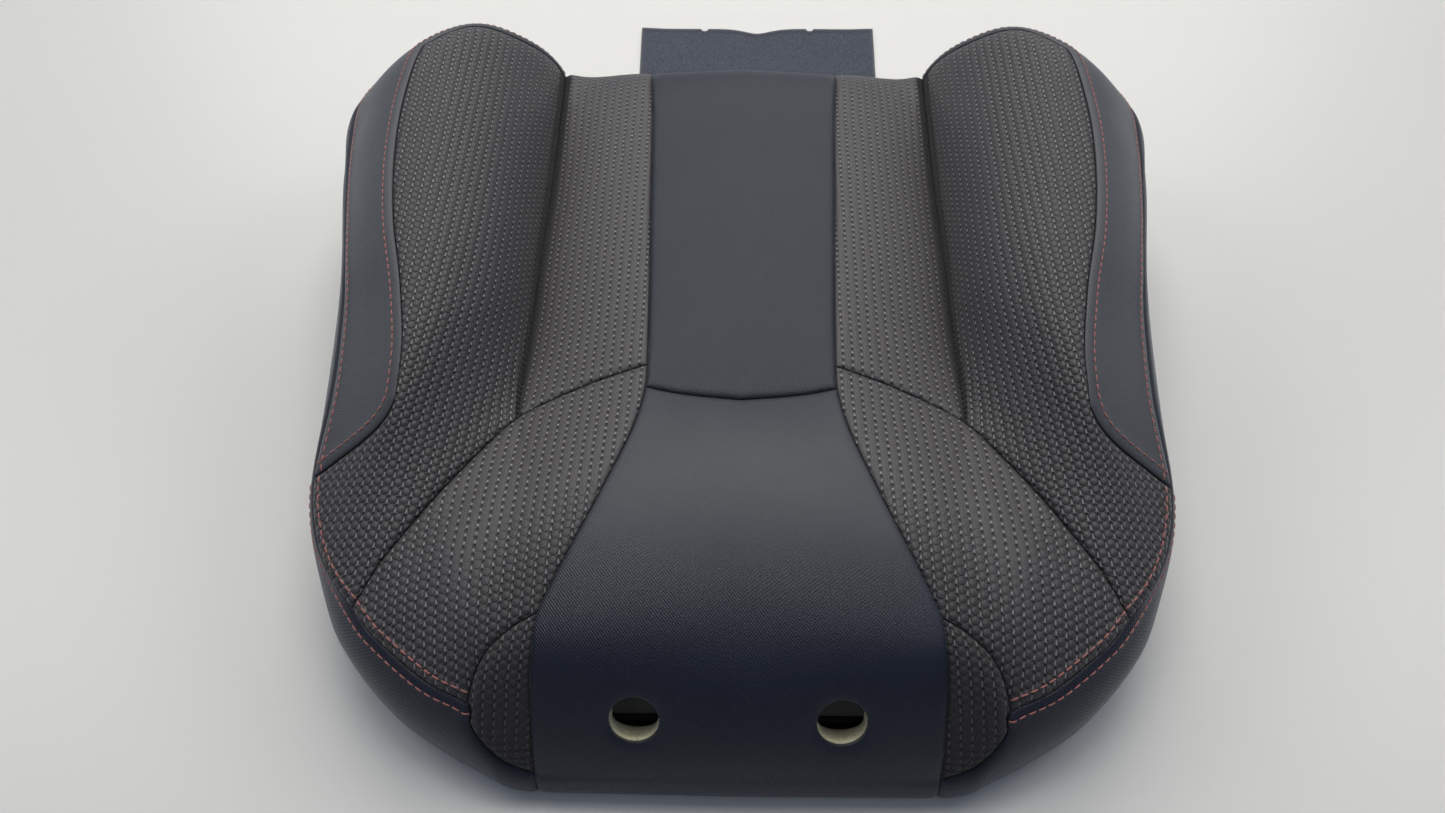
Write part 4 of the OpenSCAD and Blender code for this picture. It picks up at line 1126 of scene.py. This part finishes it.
def one_stitch(at, start):
    """Points and uv of one stitch; at(s) gives the point and normal at the length s."""
    verts, uvs = [], []
    for share, width, height in STITCH_RINGS:
        s = start + PITCH * STITCH_SHARE * share
        centre, normal = at(s)
        ahead = at(s + NEAR)[0] - at(s - NEAR)[0]
        ahead /= max(np.linalg.norm(ahead), 1e-9)
        sideways = np.cross(ahead, normal / np.linalg.norm(normal))
        sideways /= max(np.linalg.norm(sideways), 1e-9)
        normal = np.cross(sideways, ahead)
        for k in range(SIDES):
            turn = math.tau * k / SIDES
            rise = height * THREAD + width * THREAD * FLATTER * math.sin(turn)
            verts.append(centre + normal * rise + sideways * width * THREAD * math.cos(turn))
            uvs.append((k / SIDES * UV_ROUND, PITCH * share))
    return verts, uvs


def stitches(lines, first, last):
    """The stitches along the lines whose middles lie between the places first and last of y."""
    verts, faces, uvs = [], [], []
    for line in lines:
        pts = np.array([p for p, _ in line])
        nrm = np.array([n for _, n in line])
        for _ in range(3):
            pts[1:-1] = (pts[:-2] + 2 * pts[1:-1] + pts[2:]) / 4
        run = np.concatenate([[0], np.cumsum(np.linalg.norm(np.diff(pts, axis=0), axis=1))])
        count = int(run[-1] / PITCH)

        def at(s):
            return [np.array([np.interp(s, run, v[:, k]) for k in range(3)]) for v in (pts, nrm)]

        for k in range(count if count > 2 else 0):
            start = (k + STITCH_START) * PITCH
            middle = at(start + PITCH * 0.38)[0]
            if not first < middle[1] < last:
                continue
            base, final = len(verts), len(verts) + SIDES * (len(STITCH_RINGS) - 1)
            points, flat = one_stitch(at, start)
            verts += points
            uvs += flat
            for ring in range(base, final, SIDES):
                for b in range(SIDES):
                    i0, i1 = ring + b, ring + (b + 1) % SIDES
                    faces.append((i0, i1, i1 + SIDES, i0 + SIDES))
            faces.append(tuple(range(base + SIDES - 1, base - 1, -1)))
            faces.append(tuple(range(final, final + SIDES)))
    return verts, faces, uvs


# panel, seam, distance from the seam, and the places of y that the row lies between
FULL = 1.0
ROWS = (("bolster_outer", "e", 0.0070, -FULL, FULL), ("bolster_outer", "f", 0.0060, SHIFT - 0.10, FULL),
        ("bolster_inner", "f", 0.0060, -FULL, FULL), ("insert_shoulder", "f", 0.0060, -FULL, FULL),
        ("side_gusset", "f", 0.0060, -FULL, SHIFT - 0.055))
for side in ("right", "left"):
    verts, faces, uvs = [], [], []
    for name, seam, level, first, last in ROWS:
        p = built[name + "_" + side]
        v, f, t = stitches(contour(p, p["marks"][seam], level), first, last)
        faces += [tuple(len(verts) + k for k in q) for q in f]
        verts += v
        uvs += t
    o = new_mesh("topstitch_" + side, verts, faces, uvs)
    dress(o, "thread", "pad", "stitch_thread")

# ---------------------------------------------------------------- tuck flap
FLAP_Z, FELT = 0.0004, 0.002  # its gap to the table and its thickness
DIP, DIP_W = 0.009, 0.019
NOTCH_X, NOTCH_R = 0.055, 0.004
STRAIGHT = 0.8  # share of its length before the rows of its mesh start to follow the free edge
WAVE, CURL, CURL_W = 0.0009, 0.0012, 0.15  # how far it lifts in the middle and at its sides
ROUND, ROUND_L, FRAY_L = 0.0009, 0.0008, 0.0009  # its cut edges are rounded and frayed
HEM_AT, HEM_L = 0.0065, 0.0016  # the pressed line along the free edge
lo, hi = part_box("tuck_flap")
flap_x, seam_y, free_y = (lo.x + hi.x) / 2, lo.y - 0.0015, hi.y + 0.009
half_w = (hi.x - lo.x) / 2
root_w = half_w - 0.006  # narrower where it is sewn on


def far_edge(x):
    """The free edge: a shallow dip in the middle and two round notches."""
    y = free_y - DIP * math.exp(-((abs(x) / DIP_W) ** 1.7))
    for s in (-1, 1):
        r = abs(x - s * NOTCH_X)
        if r < NOTCH_R:
            y -= math.sqrt(NOTCH_R**2 - r * r)
    return y


by_notches = [(s * NOTCH_X + d) / half_w for s in (-1, 1) for d in np.linspace(-NOTCH_R, NOTCH_R, 13)]
grid_x = sorted({*np.linspace(-1, 1, 122), *by_notches})
rows, cols = len(grid_x), 85
size = rows * cols
phase = np.random.default_rng(7).uniform(0, math.tau)
verts, uvs, fray, hem_line = [], [], [], []
for top_side in (True, False):
    for gx in grid_x:
        for k in range(cols):
            s = k / (cols - 1)
            w = root_w + (half_w - root_w) * s
            x, end = gx * w, far_edge(gx * half_w)
            y = seam_y + (free_y - seam_y) * s - (free_y - end) * max(0.0, (s - STRAIGHT) / (1 - STRAIGHT))
            to_side = 1 - abs(gx)
            to_edge = min(end - y, to_side * w)
            round_off = ROUND * math.exp(-to_edge / ROUND_L)
            wave = WAVE * (0.5 + 0.5 * math.sin(9 * s + phase + 2 * gx)) * s * (1 - gx * gx * 0.5)
            lift = wave + CURL * s * s * math.exp(-(to_side / CURL_W) ** 2)
            z = FLAP_Z + (FELT - round_off if top_side else round_off) + lift
            verts.append((flap_x + x, y, z))
            uvs.append((x, y))
            fray.append(math.exp(-to_edge / FRAY_L))
            hem_line.append(math.exp(-(((end - y) - HEM_AT) / HEM_L) ** 2))
top = quads_of(np.arange(size).reshape(rows, cols), turned=True)
flap = new_mesh("felt_tuck_flap", verts, shell(top, size), uvs)
attribute(flap, "fray", fray)
attribute(flap, "hem", hem_line)
dress(flap, "felt", "flap", "felt", "tuck_flap")


# ---------------------------------------------------------------- listing sleeves
def strip_length(data):
    """The lengths of the mesh's loose parts together, each along its longest direction."""
    group = list(range(len(data.vertices)))

    def root(i):
        while group[i] != i:
            group[i] = group[group[i]]
            i = group[i]
        return i

    for edge in data.edges:
        a, b = (root(v) for v in edge.vertices)
        group[a] = b
    parts = {}
    for v in data.vertices:
        parts.setdefault(root(v.index), []).append(v.co)
    total = 0
    for part in parts.values():
        part = np.array([list(co) for co in part])
        part -= part.mean(axis=0)
        run = part @ np.linalg.svd(part, full_matrices=False)[2][0]
        total += run.max() - run.min()
    return float(total)


LONGEST = 0.004  # edges of the sleeves' meshes are cut down from this length
pairs = [kind + "_sleeve_" + side for kind in ("long", "trench", "shoulder") for side in ("left", "right")]
for name in pairs + ["cross_sleeve"]:
    o = add_object("cloth_" + name, nodes[name].data.copy())
    o.data.name = "cloth_" + name
    weld(o.data, LONGEST)
    dress(o, "sleeve", "pad", "sleeve_cloth", name)
    # cut as one strip: half of the shell's surface, as long as all its lengths together
    cut = sum(face.area for face in o.data.polygons) / 2
    length = strip_length(o.data)

# ---------------------------------------------------------------- CAD nodes that stay
for name, o in nodes.items():
    if "wire" in name or "hog_rings" in name:
        coat(o, "wire")
    elif name.startswith("retainer_strip"):
        coat(o, "strip")

# ---------------------------------------------------------------- floor, light, camera
bpy.ops.mesh.primitive_plane_add(size=12)
floor = bpy.context.object
floor.name = "table"
coat(floor, "table")

scene.world = scene.world or bpy.data.worlds.new("room")
scene.world.use_nodes = True
background = scene.world.node_tree.nodes["Background"]
background.inputs["Color"].default_value = (0.50, 0.66, 1.0, 1)
background.inputs["Strength"].default_value = 0.15

WARM, SIDE_WARM, COOL = (1.0, 0.985, 0.93), (1.0, 0.98, 0.94), (0.93, 0.96, 1.0)
# name, where it hangs, what it points at, width and length, power and colour
LAMPS = (
    ("sky", (0, 1.05, 2.15), (0, 0, 0), (1.6, 1.5), 26, WARM),
    ("window", (0, 3.4, 2.2), (0, 0.3, 0), (4.6, 1.0), 46, WARM),
    ("ceiling", (0, 0.2, 2.4), (0, 0, 0), (1.8, 0.8), 9, WARM),
    ("front", (0, -1.3, 2.2), (0, -0.2, 0), (3.0, 1.5), 5, COOL),
    ("left", (-1.7, 0.5, 1.6), (0, 0.1, 0.05), (0.9, 0.9), 7, SIDE_WARM),
    ("right", (1.7, 0.5, 1.6), (0, 0.1, 0.05), (0.9, 0.9), 7, SIDE_WARM),
)
for name, at, to, size, power, colour in LAMPS:
    lamp = bpy.data.lights.new(name, "AREA")
    lamp.shape, lamp.size, lamp.size_y = "RECTANGLE", size[0], size[1]
    lamp.energy, lamp.color = power, colour
    o = add_object(name, lamp)
    o.location = at
    o.rotation_mode = "QUATERNION"
    o.rotation_quaternion = (Vector(to) - Vector(at)).to_track_quat("-Z", "Y")

FOCAL_PX, PHOTO_WIDTH_PX = 1085, 1445
SENSOR = 36.0  # millimetres
LOOKED_AT, DISTANCE = Vector((-0.012, SHIFT, 0.100)), 0.706
photo = bpy.data.cameras.new("photo")
photo.sensor_width, photo.lens = SENSOR, SENSOR * FOCAL_PX / PHOTO_WIDTH_PX
photo.clip_start, photo.clip_end = 0.01, 50
camera = add_object("photo", photo)
pitch, yaw, roll = (math.radians(a) for a in (52, -1.3, -0.4))
ahead = Vector((math.sin(yaw) * math.cos(pitch), math.cos(yaw) * math.cos(pitch), -math.sin(pitch)))
right = Vector((math.cos(yaw), -math.sin(yaw), 0))
right = right * math.cos(roll) + right.cross(ahead) * math.sin(roll)
above = right.cross(ahead)
where = LOOKED_AT - ahead * DISTANCE
camera.matrix_world = Matrix([[right[k], above[k], -ahead[k], where[k]] for k in range(3)] + [[0, 0, 0, 1]])
scene.camera = camera
scene.view_settings.view_transform = "Standard"

bpy.context.view_layer.update()
